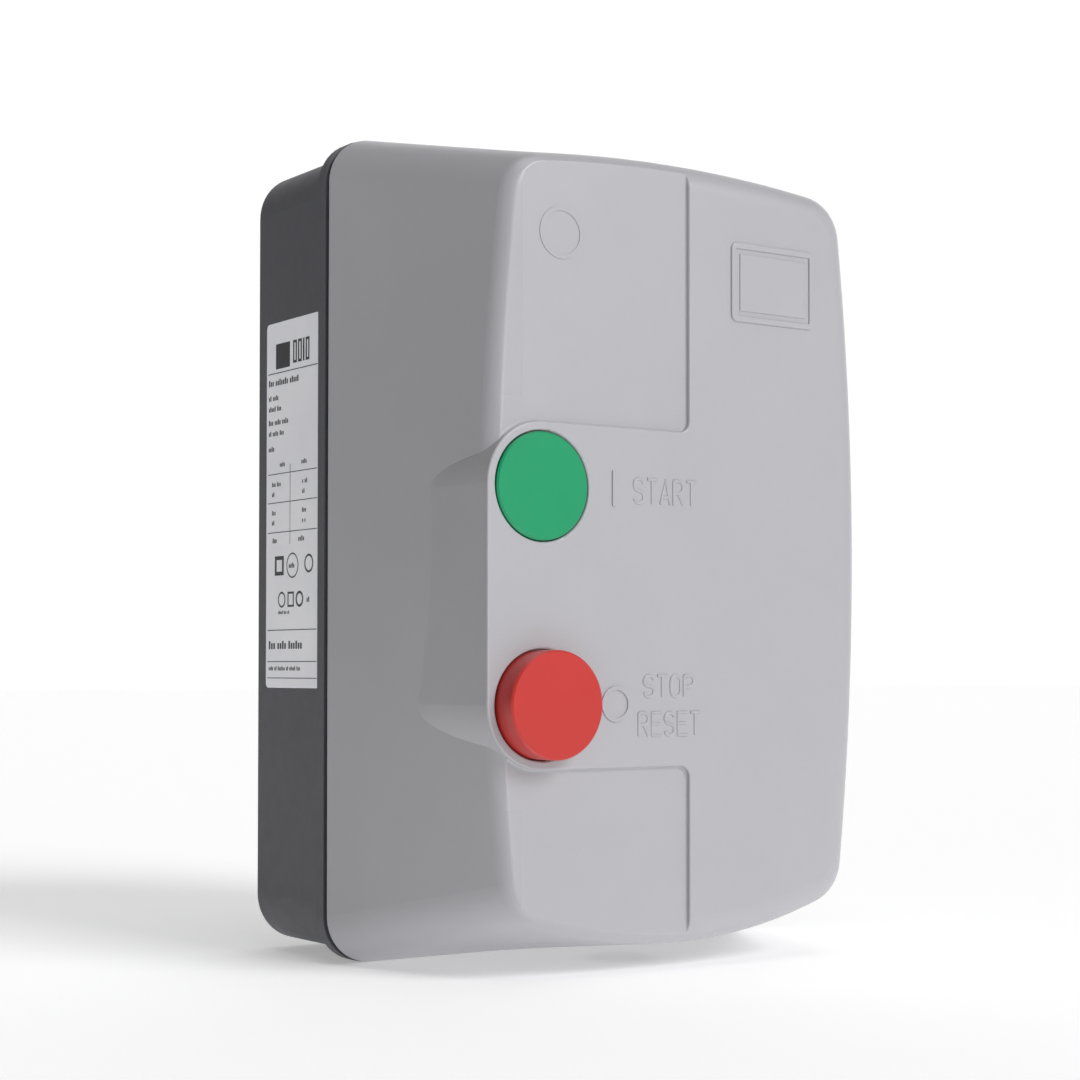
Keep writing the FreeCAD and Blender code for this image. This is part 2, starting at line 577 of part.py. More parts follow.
# ---------------------------------------------------------------- push buttons
def make_button(label, z, proud, stem_end):
    """Cup-shaped cap with its stem, turned about the button's axis."""
    body = new_body(label)
    sketch = new_sketch(body, "XY_Plane", z)
    front = f"-(face_depth + {proud})"
    radius = "cap_size / 2"
    x = "button_x"
    polygon(sketch, [(x, front), (f"{x} + {radius} - cap_edge", front),
                     (f"{x} + {radius}", f"{front} + cap_edge"), (f"{x} + {radius}", "-skirt_end"),
                     (f"{x} + {radius} - cap_wall", "-skirt_end"),
                     (f"{x} + {radius} - cap_wall", f"{front} + cap_wall"),
                     (f"{x} + stem_size / 2", f"{front} + cap_wall"),
                     (f"{x} + stem_size / 2", f"-({stem_end})"), (x, f"-({stem_end})")])
    revolve(body, sketch, "Edge9")


def make_button_parts(name, z, proud):
    """Return spring in front of the guide web, retaining ring behind it."""
    centre = ("button_x", z)
    coil = depth(f"face_depth + {proud} - cap_wall", "web_front")
    named(f"{name}_spring", cut(rod("y", centre, coil, "button_spring"),
                                rod("y", centre, coil, "button_spring - 2 * button_wire")))
    ring = cut(rod("y", centre, depth("web_back - 0.1", "clip_back"), "clip_size"),
               rod("y", centre, depth("web_back - 0.1", "clip_back"), "stem_size"))
    gap = block(around("button_x", "stem_size / 2 - 0.4"), depth("web_back", "clip_back - 1"),
                (z, f"{z} + clip_size"))
    named(f"{name}_retainer", cut(ring, gap))


make_base()
make_gasket()
make_cover()
make_nameplate()
make_rating_label()
make_cover_fasteners()
make_button("start_button", "start_z", "start_proud", "start_stem_end")
make_button("stop_button", "stop_z", "stop_proud", "stop_stem_end")
make_button_parts("start", "start_z", "start_proud")
make_button_parts("stop", "stop_z", "stop_proud")

# ---------------------------------------------------------------- contactor
POLES = (-1, 0, 1)
ENDS = (-1, 1)


def pole(i):
    return f"pole_x + ({i}) * pole_pitch"


def level(end, text, base="contactor_z"):
    """Height at a distance above or below a unit's centre line."""
    return f"{base} + ({end}) * ({text})"


def levels(end, low, high, base="contactor_z"):
    """Z range between two distances from a unit's centre line, on its upper or lower side."""
    return sorted((level(end, low, base), level(end, high, base)), key=size)


def coil(axis, centre, span, outer):
    """Envelope of a compression spring: a tube as thick as its wire."""
    return cut(rod(axis, centre, span, outer), rod(axis, centre, span, f"({outer}) - 2 * spring_wire"))


def slotted_screw(x, z, head, head_back, head_front, shank, shank_end):
    """Cheese-head screw driven from the front."""
    top = rod("y", (x, z), depth(head_front, head_back), head)
    thread = rod("y", (x, z), depth(f"{head_back} + 0.5", shank_end), shank)
    slot = block(around(x, f"{head}"), depth(f"{head_front} + 1", f"{head_front} - slot_deep"),
                 around(z, "slot_wide / 2"))
    return cut(join(top, thread), slot)


def make_mounting_plate():
    body = new_body("mounting_plate")
    sketch = new_sketch(body, "XZ_Plane", "plate_back")
    polygon(sketch, [("mount_left", "mount_low"), ("mount_right", "mount_low"),
                     ("mount_right", "mount_top"), ("mount_left", "mount_top")])
    for side in ENDS:
        for end in ENDS:
            circle(sketch, f"{side} * post_x + post_shift", f"{end} * post_z + post_shift", "mount_hole")
    pad(body, sketch, "plate_front - plate_back")
    screws = []
    for side in ENDS:
        for end in ENDS:
            screws.append(slotted_screw(f"{side} * post_x + post_shift", f"{end} * post_z + post_shift",
                                        "terminal_head", "plate_front", "plate_front + plate_head",
                                        "post_bore", "plate_shank_end"))
    named("plate_screws", group(*screws))


def make_contactor_housings():
    """Lower housing with the coil well, upper housing with three pole chambers, and its front plate."""
    outer_x = around("pole_x", "unit_half")
    outer_z = around("contactor_z", "contactor_half")
    tab_slot = ("contactor_z + well_half_z + tab_slot_gap", "contactor_z + contactor_half + 1")
    lower = block(outer_x, depth("lower_front", "plate_front"), outer_z)
    tools = [block(around("pole_x", "well_half_x"), depth("lower_front + 1", "well_back"),
                   around("contactor_z", "well_half_z"))]
    for side in ENDS:
        x = f"pole_x + {side} * coil_tab_x"
        tools.append(block(around(x, "tab_slot_half"), depth("lower_front + 1", "coil_tab_back"), tab_slot))
        tools.append(rod("y", (x, "contactor_z + coil_tab_z"), depth("coil_tab_back + 1", "tab_bore_end"),
                         "terminal_bore"))
    named("contactor_base", cut(lower, *tools))

    upper = block(outer_x, depth("upper_front", "lower_front"), outer_z)
    tools = [block(around("pole_x", "shaft_half_x"), depth("upper_front + 1", "lower_front - 1"),
                   around("contactor_z", "shaft_half_z"))]
    for side in ENDS:
        x = f"pole_x + {side} * coil_tab_x"
        tools.append(block(around(x, "tab_slot_half"), depth("tab_slot_front", "lower_front - 1"), tab_slot))
    for i in POLES:
        x = around(pole(i), "chamber_half_x")
        tools.append(block(x, depth("upper_front + 1", "chamber_back"),
                           around("contactor_z", "chamber_half_z - 2")))
        tools.append(block(x, depth("upper_front + 1", "strip_back"),
                           around("contactor_z", "contactor_half + 1")))
        for end in ENDS:
            tools.append(rod("y", (pole(i), level(end, "terminal_z")),
                             depth("strip_back + 1", "housing_bore_end"), "terminal_bore"))
    named("contactor_housing", cut(upper, *tools))

    plate = block(outer_x, depth("front_plate", "upper_front"), around("contactor_z", "well_half_z + 3"))
    window = block(around("pole_x", "plate_window_x"), depth("front_plate + 1", "upper_front - 1"),
                   around("contactor_z", "plate_window_z"))
    named("contactor_cover", cut(plate, window))


def e_core(yoke_back, yoke_front, pole_end):
    """Laminated E core between a yoke and its three poles."""
    z = around("contactor_z", "core_half_z")
    solids = [block(around("pole_x", "leg_out"), depth(yoke_front, yoke_back), z)]
    near = yoke_front if size(pole_end) > size(yoke_front) else yoke_back
    ends = sorted((f"-({pole_end})", f"-({near})"), key=size)
    solids.append(block(around("pole_x", "mid_leg"), ends, z))
    for side in ENDS:
        x = sorted((f"pole_x + {side} * leg_in", f"pole_x + {side} * leg_out"), key=size)
        solids.append(block(x, ends, z))
    return join(*solids)


def make_magnet():
    """Fixed core with shading rings, coil on its bobbin, and the moving core."""
    core = e_core("core_back", "core_back + yoke", "core_front")
    rings = []
    for side in ENDS:
        x = f"pole_x + {side} * (leg_in + leg_out) / 2"
        frame = block(around(x, "shade_half_x"), depth("core_front", "core_front - shade_thick"),
                      around("contactor_z", "shade_half_z"))
        hole = block(around(x, "shade_half_x - shade_line"), depth("core_front + 1", "core_front - 2"),
                     around("contactor_z", "shade_half_z - shade_line"))
        rings.append(cut(frame, hole))
    named("fixed_core", cut(core, *rings))
    named("shading_rings", group(*rings))

    tube = "mid_leg + bobbin_wall"
    tube_z = "core_half_z + bobbin_wall"
    span = depth("bobbin_front", "bobbin_back")
    flange = "bobbin_flange"
    body = block(around("pole_x", tube), span, around("contactor_z", tube_z))
    flanges = []
    for near in ("bobbin_back", "bobbin_front - bobbin_flange"):
        flanges.append(block(around("pole_x", "bobbin_half_x"), depth(f"{near} + {flange}", near),
                             around("contactor_z", "bobbin_half_z")))
    bore = block(around("pole_x", "mid_leg"), depth("bobbin_front + 1", "bobbin_back - 1"),
                 around("contactor_z", "core_half_z"))
    named("coil_bobbin", cut(join(body, *flanges), bore))
    wound = depth(f"bobbin_front - {flange}", f"bobbin_back + {flange}")
    copper = block(around("pole_x", "bobbin_half_x - 0.6"), wound, around("contactor_z", "bobbin_half_z - 1"))
    rounded = round_edges(copper, "recess_corner", along("y"))
    named("coil_winding", cut(rounded, block(around("pole_x", tube), wound, around("contactor_z", tube_z))))
    named("moving_core", e_core("armature_front - yoke", "armature_front", "armature_pole"))


def make_contacts():
    """Moving carrier with three sprung bridges, and the six fixed contact strips."""
    solids = [block(around("pole_x", "leg_out"), depth("saddle_front", "armature_front"),
                    around("contactor_z", "saddle_half_z")),
              block(around("pole_x", "carrier_half_x"), depth("carrier_front", "armature_front"),
                    around("contactor_z", "carrier_half_z")),
              block(around("pole_x", "nub_half_x"), depth("nub_front", "carrier_front - 1"),
                    around("contactor_z", "nub_half_z"))]
    windows = []
    bridges = []
    springs = []
    for i in POLES:
        x = around(pole(i), "window_half_x")
        windows.append(block(x, depth("window_front", "window_back"),
                             around("contactor_z", "carrier_half_z + 1")))
        bar = block(around(pole(i), "bridge_half_x"), depth("bridge_front", "window_back"),
                    around("contactor_z", "bridge_half_z"))
        tip_span = depth("window_back + 0.1", "window_back - tip_thick")
        tips = [rod("y", (pole(i), level(end, "tip_z")), tip_span, "tip_size") for end in ENDS]
        bridges.append(join(bar, *tips))
        springs.append(coil("y", (pole(i), "contactor_z"), depth("window_front", "bridge_front"),
                            "contact_spring"))
    named("contact_carrier", cut(join(*solids), *windows))
    named("contact_bridges", group(*bridges))
    named("contact_springs", group(*springs))
    span = depth("armature_front", "bobbin_front")
    returns = [coil("y", ("pole_x", level(end, "return_spring_z")), span, "return_spring") for end in ENDS]
    named("return_springs", group(*returns))
    for end, name in ((1, "line"), (-1, "load")):
        strips = []
        screws = []
        clamps = []
        for i in POLES:
            z = level(end, "terminal_z")
            bar = block(around(pole(i), "strip_half_x"), depth("strip_front", "strip_back"),
                        levels(end, "strip_inner", "strip_outer"))
            tip = rod("y", (pole(i), level(end, "tip_z")), depth("strip_front + tip_thick", "strip_front - 0.1"),
                      "tip_size")
            strips.append(cut(join(bar, tip), rod("y", (pole(i), z), depth("strip_front + 1", "strip_back - 1"),
                                                  "terminal_shank")))
            screws.append(slotted_screw(pole(i), z, "terminal_head", "clamp_front", "terminal_head_front",
                                        "terminal_shank", "terminal_shank_end"))
            clamp = block(around(pole(i), "clamp_half"), depth("clamp_front", "clamp_back"),
                          around(z, "clamp_half"))
            clamps.append(cut(clamp, rod("y", (pole(i), z), depth("clamp_front + 1", "clamp_back - 1"),
                                         "terminal_shank")))
        named(f"{name}_contacts", group(*strips))
        named(f"{name}_screws", group(*screws))
        named(f"{name}_clamps", group(*clamps))


def make_coil_terminals():
    tabs = []
    screws = []
    for side in ENDS:
        x, z = f"pole_x + {side} * coil_tab_x", "contactor_z + coil_tab_z"
        bar = block(around(x, "tab_half"), depth("coil_tab_front", "coil_tab_back"),
                    ("contactor_z + well_half_z + 2", "contactor_z + contactor_half - 1"))
        shank = rod("y", (x, z), depth("coil_tab_front + 1", "coil_tab_back - 1"), "terminal_shank")
        tabs.append(cut(bar, shank))
        screws.append(slotted_screw(x, z, "tab_head", "tab_head_back", "tab_head_front", "terminal_shank",
                                    "tab_shank_end"))
    named("coil_terminals", group(*tabs))
    named("coil_terminal_screws", group(*screws))


def make_start_block():
    """Contact block that the start button presses, clipped to the contactor's front."""
    x = around("button_x", "block_half_x")
    shell = block(x, depth("block_front", "front_plate"), ("block_low", "block_high"))
    room = block(around("button_x", "block_half_x - block_wall + 0.3"),
                 depth("block_front - block_wall", "front_plate + block_wall"),
                 ("block_low + block_end_wall", "block_high - block_end_wall"))
    centre = ("button_x", "start_z")
    hole = rod("y", centre, depth("block_front + 1", "block_front - block_wall - 1"), "block_hole")
    named("start_block", cut(shell, room, hole))
    rod_part = rod("y", centre, depth("block_plunger_front", "block_flange_back"), "block_plunger")
    flange = rod("y", centre, depth("block_flange_front", "block_flange_back"), "block_flange")
    named("start_plunger", join(rod_part, flange))
    bar = block(around("button_x", "block_strip_half"),
                depth("block_flange_back", "block_flange_back - block_bar"),
                around("start_z", "block_bridge_half"))
    tip_span = depth("block_flange_back", "block_flange_back - block_tip_deep")
    tips = [rod("y", ("button_x", level(end, "block_tip_z", "start_z")), tip_span, "block_tip")
            for end in ENDS]
    named("start_bridge", join(bar, *tips))
    floor = "front_plate + block_wall"
    named("start_block_spring", coil("y", centre, depth("block_flange_back - block_bar", floor),
                                     "block_spring"))
    strips = [block(around("button_x", "block_strip_half"), depth("block_strip_front", floor),
                    levels(end, "block_strip_near", "block_strip_far", "start_z")) for end in ENDS]
    named("start_block_contacts", group(*strips))


# ---------------------------------------------------------------- thermal overload relay
def make_relay_housings():
    x = around("pole_x", "unit_half")
    body = block(x, depth("relay_split", "relay_back"), ("relay_low", "relay_high"))
    tools = [block(around("pole_x", "unit_half - relay_wall"), depth("relay_split + 1", "relay_inside"),
                   ("relay_cover_low + 1", "relay_high - relay_wall"))]
    for i in POLES:
        tools.append(block(around(pole(i), "chamber_half_x"), depth("relay_split + 1", "relay_strip_back"),
                           ("relay_low - 1", "relay_cover_low - 1.5")))
        tools.append(rod("y", (pole(i), "relay_terminal_z"), depth("relay_strip_back + 1", "relay_bore_end"),
                         "terminal_bore"))
        tools.append(block(around(f"{pole(i)} + link_shift", "link_half"), depth("clamp_back", "strip_front"),
                           ("link_low", "relay_high + 1")))
        tools.append(block(around(pole(i), "bimetal_half_x"), around("-bimetal_y", "bimetal_thick / 2"),
                           ("relay_cover_low - 1", "relay_cover_low + 2")))
    shelf = block(("pole_x - unit_half + 1", "button_x + shelf_reach"), depth("shelf_front", "shelf_back"),
                  around("stop_z", "shelf_half_z"))
    shelf_bore = rod("y", ("button_x", "stop_z"), depth("shelf_front + 1", "shelf_back - 1"), "reset_bore")
    named("relay_housing", join(cut(body, *tools), cut(shelf, shelf_bore)))

    lid = block(x, depth("relay_front", "relay_split"), ("relay_cover_low", "relay_high"))
    room = block(around("pole_x", "unit_half - relay_wall"),
                 depth("relay_front - relay_wall", "relay_split - 1"),
                 ("relay_cover_low + 1", "relay_high - relay_wall"))
    holes = [rod("y", ("button_x", "stop_z"), depth("relay_front + 1", "relay_split"), "reset_bore"),
             rod("y", ("dial_x", "dial_z"), depth("relay_front + 1", "relay_split"), "dial_bore")]
    named("relay_cover", cut(lid, room, *holes))


def make_relay_works():
    """Bimetal strips in their heaters, trip slider and lever, reset plunger and current dial."""
    strips = []
    heaters = []
    left = "pole_x - unit_half + relay_wall + 2"
    last = f"{pole(1)} + finger_gap + finger_wide"
    thickness = depth("slider_front", "slider_back")
    slider = [block((left, "lever_x - 0.5"), thickness, ("slider_low", "slider_high")),
              block((left, last), thickness, ("slider_low", "slider_low + slider_bar"))]
    for i in POLES:
        x = pole(i)
        across = around("-bimetal_y", "bimetal_thick / 2")
        strips.append(block(around(x, "bimetal_half_x"), across, ("bimetal_low - 1", "bimetal_high")))
        coil_box = block(around(x, "heater_half_x"), around("-bimetal_y", "heater_half_y"),
                         ("heater_low", "heater_high"))
        heaters.append(cut(coil_box, block(around(x, "bimetal_half_x"), across,
                                           ("heater_low - 1", "heater_high + 1"))))
        slider.append(block((f"{x} + finger_gap", f"{x} + finger_gap + finger_wide"),
                            depth("finger_front", "finger_back"), ("finger_low", "slider_low + 1")))
    named("bimetal_strips", group(*strips))
    named("heater_coils", group(*heaters))
    named("trip_slider", join(*slider))

    named("lever_pin", rod("y", ("lever_x", "lever_z"), depth("pin_front", "relay_inside"), "lever_pin"))
    thick = depth("lever_front", "lever_back")
    hub = rod("y", ("lever_x", "lever_z"), thick, "lever_hub")
    arm = block(("lever_x + arm_gap", "lever_x + arm_gap + arm_wide"), thick,
                ("lever_z - arm_long", "lever_z + lever_half"))
    neck = block(("lever_x", "lever_x + arm_gap + arm_wide"), thick, around("lever_z", "lever_half"))
    top = block(around("lever_x", "lever_half"), thick, ("lever_z", "lever_z + lever_top"))
    bore = rod("y", ("lever_x", "lever_z"), depth("lever_front + 1", "lever_back - 1"), "lever_bore")
    named("trip_lever", cut(join(hub, arm, neck, top), bore))

    centre = ("button_x", "stop_z")
    plunger = rod("y", centre, depth("reset_tip", "reset_end"), "reset_size")
    flange = rod("y", centre, depth("reset_flange_front", "reset_flange_back"), "reset_flange")
    named("reset_plunger", join(plunger, flange))
    span = depth("reset_flange_back", "shelf_front")
    named("reset_spring", cut(rod("y", centre, span, "reset_spring"),
                              rod("y", centre, span, "reset_spring_bore")))

    body = new_body("current_dial")
    sketch = new_sketch(body, "XY_Plane", "dial_z")
    x = "dial_x"
    polygon(sketch, [(x, "-dial_front"), (f"{x} + dial_size / 2 - dial_edge", "-dial_front"),
                     (f"{x} + dial_size / 2", "-dial_front + dial_edge"), (f"{x} + dial_size / 2", "-dial_back"),
                     (f"{x} + dial_shaft / 2", "-dial_back"), (f"{x} + dial_shaft / 2", "-dial_shaft_end"),
                     (x, "-dial_shaft_end")])
    revolve(body, sketch, "Edge7")
    slot = new_sketch(body, "XZ_Plane", "dial_front")
    slot_end = "dial_z + dial_size / 2 - dial_slot_gap"
    polygon(slot, [(f"{x} - dial_slot_half", "dial_z - dial_slot_half"),
                   (f"{x} + dial_slot_half", "dial_z - dial_slot_half"),
                   (f"{x} + dial_slot_half", slot_end), (f"{x} - dial_slot_half", slot_end)])
    pocket(body, slot, "slot_deep")
    bracket = block(("dial_x - bracket_half_x", "pole_x + unit_half - relay_wall"),
                    depth("dial_shaft_end - 0.3", "bracket_back"), around("dial_z", "bracket_half_z"))
    named("dial_bracket", bracket)


def make_relay_terminals():
    strips = []
    screws = []
    clamps = []
    links = []
    for i in POLES:
        z = "relay_terminal_z"
        bar = block(around(pole(i), "strip_half_x"), depth("relay_strip_front", "relay_strip_back"),
                    ("relay_low + 0.5", "relay_cover_low - 1.7"))
        shank = rod("y", (pole(i), z), depth("relay_strip_front + 5", "relay_strip_back - 1"), "terminal_shank")
        strips.append(cut(bar, shank))
        screws.append(slotted_screw(pole(i), z, "terminal_head", "relay_clamp_front", "relay_head_front",
                                    "terminal_shank", "relay_shank_end"))
        clamp = block(around(pole(i), "clamp_half"), depth("relay_clamp_front", "relay_clamp_back"),
                      around(z, "clamp_half"))
        clamps.append(cut(clamp, shank))
        links.append(block(around(f"{pole(i)} + link_shift", "link_half"), depth("clamp_back", "strip_front"),
                           ("link_low", "link_high")))
    named("relay_contacts", group(*strips))
    named("relay_screws", group(*screws))
    named("relay_clamps", group(*clamps))
    named("link_pins", group(*links))


def make_earth_terminal():
    """Brass earth clamp on the mounting plate."""
    x, z = "earth_x", "earth_z"
    solid = block(around(x, "earth_half"), depth("earth_front", "plate_front"), around(z, "earth_half"))
    wire_hole = rod("z", (x, "-(plate_front + earth_wire_y)"),
                    (f"{z} - earth_half - 1", f"{z} + earth_half + 1"), "earth_bore")
    bore = rod("y", (x, z), depth("earth_front + 1", "plate_front + 1"), "earth_bore")
    named("earth_terminal", cut(solid, wire_hole, bore))
    named("earth_screw", slotted_screw(x, z, "terminal_head", "earth_front", "earth_front + earth_head",
                                       "earth_bore", "earth_front - earth_shank"))


def wire(points, bend, diameter):
    """Round wire along straight runs joined by tangent arcs."""
    edges = []
    start = points[0]
    for before, corner, after in zip(points, points[1:], points[2:]):
        back, ahead = (before - corner).normalize(), (after - corner).normalize()
        enter, leave = corner + back * bend, corner + ahead * bend
        middle = corner + (back + ahead) * bend - (back + ahead).normalize() * bend
        edges.append(Part.makeLine(start, enter))
        edges.append(Part.Arc(enter, middle, leave).toShape())
        start = leave
    edges.append(Part.makeLine(start, points[-1]))
    path = Part.Wire(edges)
    section = Part.Wire(Part.makeCircle(diameter / 2, points[0], points[1] - points[0]))
    shape = path.makePipeShell([section], True, False)
    expected = math.pi * diameter ** 2 / 4 * path.Length
    if abs(shape.Volume / expected - 1) > 0.01:
        raise RuntimeError("wire volume does not match its length")
    return shape_feature("wire", shape)


def make_control_wires():
    """Two leads from the coil terminals: to the start contact block and to the overload relay."""
    y = -size("coil_tab_front + control_wire / 2 + 0.2")
    z = size("contactor_z + coil_tab_z")
    top = size("contactor_z + contactor_half + wire_over")
    left = size("pole_x - coil_tab_x - wire_shift")
    right = size("pole_x + coil_tab_x + wire_shift")
    outside_left = size("pole_x - unit_half - wire_left")
    outside_right = size("pole_x + unit_half + wire_right")
    block_side = size("button_x - block_half_x")
    block_y = -size("block_front - wire_block_y")
    block_z = size("block_high - wire_block_z")
    relay_z = size("relay_high - wire_relay_z")
    bend, diameter = size("control_bend"), size("control_wire")
    to_block = [V(left, y, z), V(left, y, top), V(outside_left, y, top), V(outside_left, y, block_z),
                V(outside_left, block_y, block_z), V(block_side, block_y, block_z)]
    to_relay = [V(right, y, z), V(right, y, top), V(outside_right, y, top), V(outside_right, y, relay_z),
                V(size("pole_x + unit_half"), y, relay_z)]
    named("control_wires", group(wire(to_block, bend, diameter), wire(to_relay, bend, diameter)))


make_mounting_plate()
make_contactor_housings()
make_magnet()
make_contacts()
make_coil_terminals()
make_start_block()
make_relay_housings()
make_relay_works()
make_relay_terminals()
make_earth_terminal()
make_control_wires()

# ---------------------------------------------------------------- checks and files
doc.recompute()
for item in doc.Objects:
    if "Invalid" in item.State or "Error" in item.State:
        raise RuntimeError(f"{item.Label}: {item.State}")
os.makedirs("parts", exist_ok=True)
for piece in pieces:
    if piece.Shape.isNull() or not piece.Shape.isValid() or not piece.Shape.Solids:
        raise RuntimeError(f"{piece.Label}: bad shape")
for piece in pieces:
    piece.Shape.exportStep(f"parts/{piece.Label}.step")
    box = piece.Shape.BoundBox
    print(f"{piece.Label:24s} solids {len(piece.Shape.Solids)} volume {piece.Shape.Volume / 1000:8.3f} cm3 "
          f"Y {box.YMin:.1f}..{box.YMax:.1f}")
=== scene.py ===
import json
import math

import bmesh
import bpy
from mathutils import Matrix, Vector


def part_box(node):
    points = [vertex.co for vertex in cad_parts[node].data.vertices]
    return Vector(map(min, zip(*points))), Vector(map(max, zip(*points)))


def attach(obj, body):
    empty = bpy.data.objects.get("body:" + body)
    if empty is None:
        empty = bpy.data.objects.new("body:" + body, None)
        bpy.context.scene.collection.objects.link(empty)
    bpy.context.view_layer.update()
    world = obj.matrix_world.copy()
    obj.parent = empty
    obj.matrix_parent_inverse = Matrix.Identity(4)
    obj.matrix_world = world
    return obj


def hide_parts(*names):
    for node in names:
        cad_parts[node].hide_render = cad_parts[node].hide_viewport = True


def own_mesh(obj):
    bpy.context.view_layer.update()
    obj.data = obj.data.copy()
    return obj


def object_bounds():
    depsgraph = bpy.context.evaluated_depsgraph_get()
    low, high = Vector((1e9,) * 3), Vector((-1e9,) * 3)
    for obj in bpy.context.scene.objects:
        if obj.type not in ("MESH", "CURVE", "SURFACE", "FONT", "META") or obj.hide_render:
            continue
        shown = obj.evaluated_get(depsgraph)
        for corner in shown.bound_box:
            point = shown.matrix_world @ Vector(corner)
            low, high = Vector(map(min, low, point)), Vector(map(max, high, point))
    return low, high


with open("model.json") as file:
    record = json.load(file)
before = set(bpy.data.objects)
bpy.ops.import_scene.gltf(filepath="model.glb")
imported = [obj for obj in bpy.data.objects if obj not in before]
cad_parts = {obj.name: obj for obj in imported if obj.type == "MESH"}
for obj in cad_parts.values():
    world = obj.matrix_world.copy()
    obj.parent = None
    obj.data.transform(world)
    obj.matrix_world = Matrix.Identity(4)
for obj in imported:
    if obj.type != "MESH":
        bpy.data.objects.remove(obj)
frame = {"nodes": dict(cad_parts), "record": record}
cad_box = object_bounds()
MM = 0.001

# ---------------------------------------------------------------- places taken from the frame
BODY_OF = {node: body for body, nodes in frame["record"]["behaviour"]["bodies"].items() for node in nodes}
SLOT_OF = {part["node"]: part["material_slot"] for part in frame["record"]["subparts"]}


def low(node):
    return Vector(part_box(node)[0])


def high(node):
    return Vector(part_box(node)[1])


def middle(node):
    return (low(node) + high(node)) / 2


def centre_of(node):
    """X and Z of a node's middle, in millimetres."""
    point = middle(node) / MM
    return point.x, point.z


# ---------------------------------------------------------------- shader nodes
# a Mix node keeps its two inputs and its output at different places for each kind of data
MIX_SOCKETS = {"FLOAT": (2, 3, 0), "VECTOR": (4, 5, 1), "RGBA": (6, 7, 2)}
# a noise texture's values lie mostly between these two
NOISE_LOW, NOISE_HIGH = 0.3, 0.7


def new_material(name, colour, roughness, metallic=0.0):
    """Principled material; returns it with its node tree, shader and object coordinates."""
    material = bpy.data.materials.new(name)
    material.use_nodes = True
    tree = material.node_tree
    shader = tree.nodes["Principled BSDF"]
    shader.inputs["Base Color"].default_value = (*colour, 1)
    shader.inputs["Roughness"].default_value = roughness
    shader.inputs["Metallic"].default_value = metallic
    coords = tree.nodes.new("ShaderNodeTexCoord").outputs["Object"]
    return material, tree, shader, coords


def noise(tree, coords, scale, detail, stretch=(1, 1, 1)):
    """Noise in object space; scale is the number of features per metre."""
    mapping = tree.nodes.new("ShaderNodeMapping")
    mapping.inputs["Scale"].default_value = stretch
    tree.links.new(coords, mapping.inputs["Vector"])
    texture = tree.nodes.new("ShaderNodeTexNoise")
    texture.inputs["Scale"].default_value = scale
    texture.inputs["Detail"].default_value = detail
    tree.links.new(mapping.outputs["Vector"], texture.inputs["Vector"])
    return texture.outputs["Fac"]


def ramp(tree, value, start, end, at_start=0.0, at_end=1.0):
    """Straight ramp of a value from start to end, level outside them."""
    node = tree.nodes.new("ShaderNodeMapRange")
    node.inputs["From Min"].default_value = start
    node.inputs["From Max"].default_value = end
    node.inputs["To Min"].default_value = at_start
    node.inputs["To Max"].default_value = at_end
    tree.links.new(value, node.inputs["Value"])
    return node.outputs["Result"]


def mixed(tree, kind, factor, first, second):
    """Mix of two sockets or constants by a factor."""
    node = tree.nodes.new("ShaderNodeMix")
    node.data_type = kind
    place_first, place_second, place_out = MIX_SOCKETS[kind]
    tree.links.new(factor, node.inputs[0])
    for place, source in ((place_first, first), (place_second, second)):
        if isinstance(source, bpy.types.NodeSocket):
            tree.links.new(source, node.inputs[place])
        else:
            node.inputs[place].default_value = source
    return node.outputs[place_out]


def arithmetic(tree, operation, first, second):
    """Math node on a socket and a second socket or constant."""
    node = tree.nodes.new("ShaderNodeMath")
    node.operation = operation
    tree.links.new(first, node.inputs[0])
    if isinstance(second, bpy.types.NodeSocket):
        tree.links.new(second, node.inputs[1])
    else:
        node.inputs[1].default_value = second
    return node.outputs[0]


def surface(tree, shader, colours, stains, roughness, wear, worn, height, depth):
    """Drive a shader: two colours by stains, roughness by worn, and a bump of a depth in millimetres."""
    low_colour, high_colour = [(*colour, 1) for colour in colours]
    tree.links.new(mixed(tree, "RGBA", ramp(tree, stains, NOISE_LOW, NOISE_HIGH), low_colour, high_colour),
                   shader.inputs["Base Color"])
    tree.links.new(ramp(tree, worn, NOISE_LOW, NOISE_HIGH, roughness - wear, roughness + wear),
                   shader.inputs["Roughness"])
    relief = tree.nodes.new("ShaderNodeBump")
    relief.inputs["Strength"].default_value = 1.0
    relief.inputs["Distance"].default_value = depth * MM
    tree.links.new(height, relief.inputs["Height"])
    tree.links.new(relief.outputs["Normal"], shader.inputs["Normal"])


# ---------------------------------------------------------------- materials
def moulded(name, colour, roughness=0.5, grain=2600, depth=0.03, variation=0.04, wear=0.03):
    """Moulded plastic with a fine spark-eroded grain and a slight cloudiness."""
    cloud_scale, wear_scale = 60, 320
    material, tree, shader, coords = new_material(name, colour, roughness)
    darker = [c * (1 - variation) for c in colour]
    lighter = [min(1, c * (1 + variation)) for c in colour]
    surface(tree, shader, (darker, lighter), noise(tree, coords, cloud_scale, 3), roughness, wear,
            noise(tree, coords, wear_scale, 4), noise(tree, coords, grain, 2), depth)
    return material


def metal(name, colour, roughness=0.3, stretch=(1, 1, 1), scale=900, depth=0.01, tarnish=0.12, wear=0.08):
    """Plated or drawn metal: fine directional lines and uneven tarnish."""
    stain_scale, wear_scale = 120, 300
    material, tree, shader, coords = new_material(name, colour, roughness, 1.0)
    dull = [c * (1 - tarnish) for c in colour]
    surface(tree, shader, (dull, colour), noise(tree, coords, stain_scale, 5), roughness, wear,
            noise(tree, coords, wear_scale, 3), noise(tree, coords, scale, 2, stretch), depth)
    return material


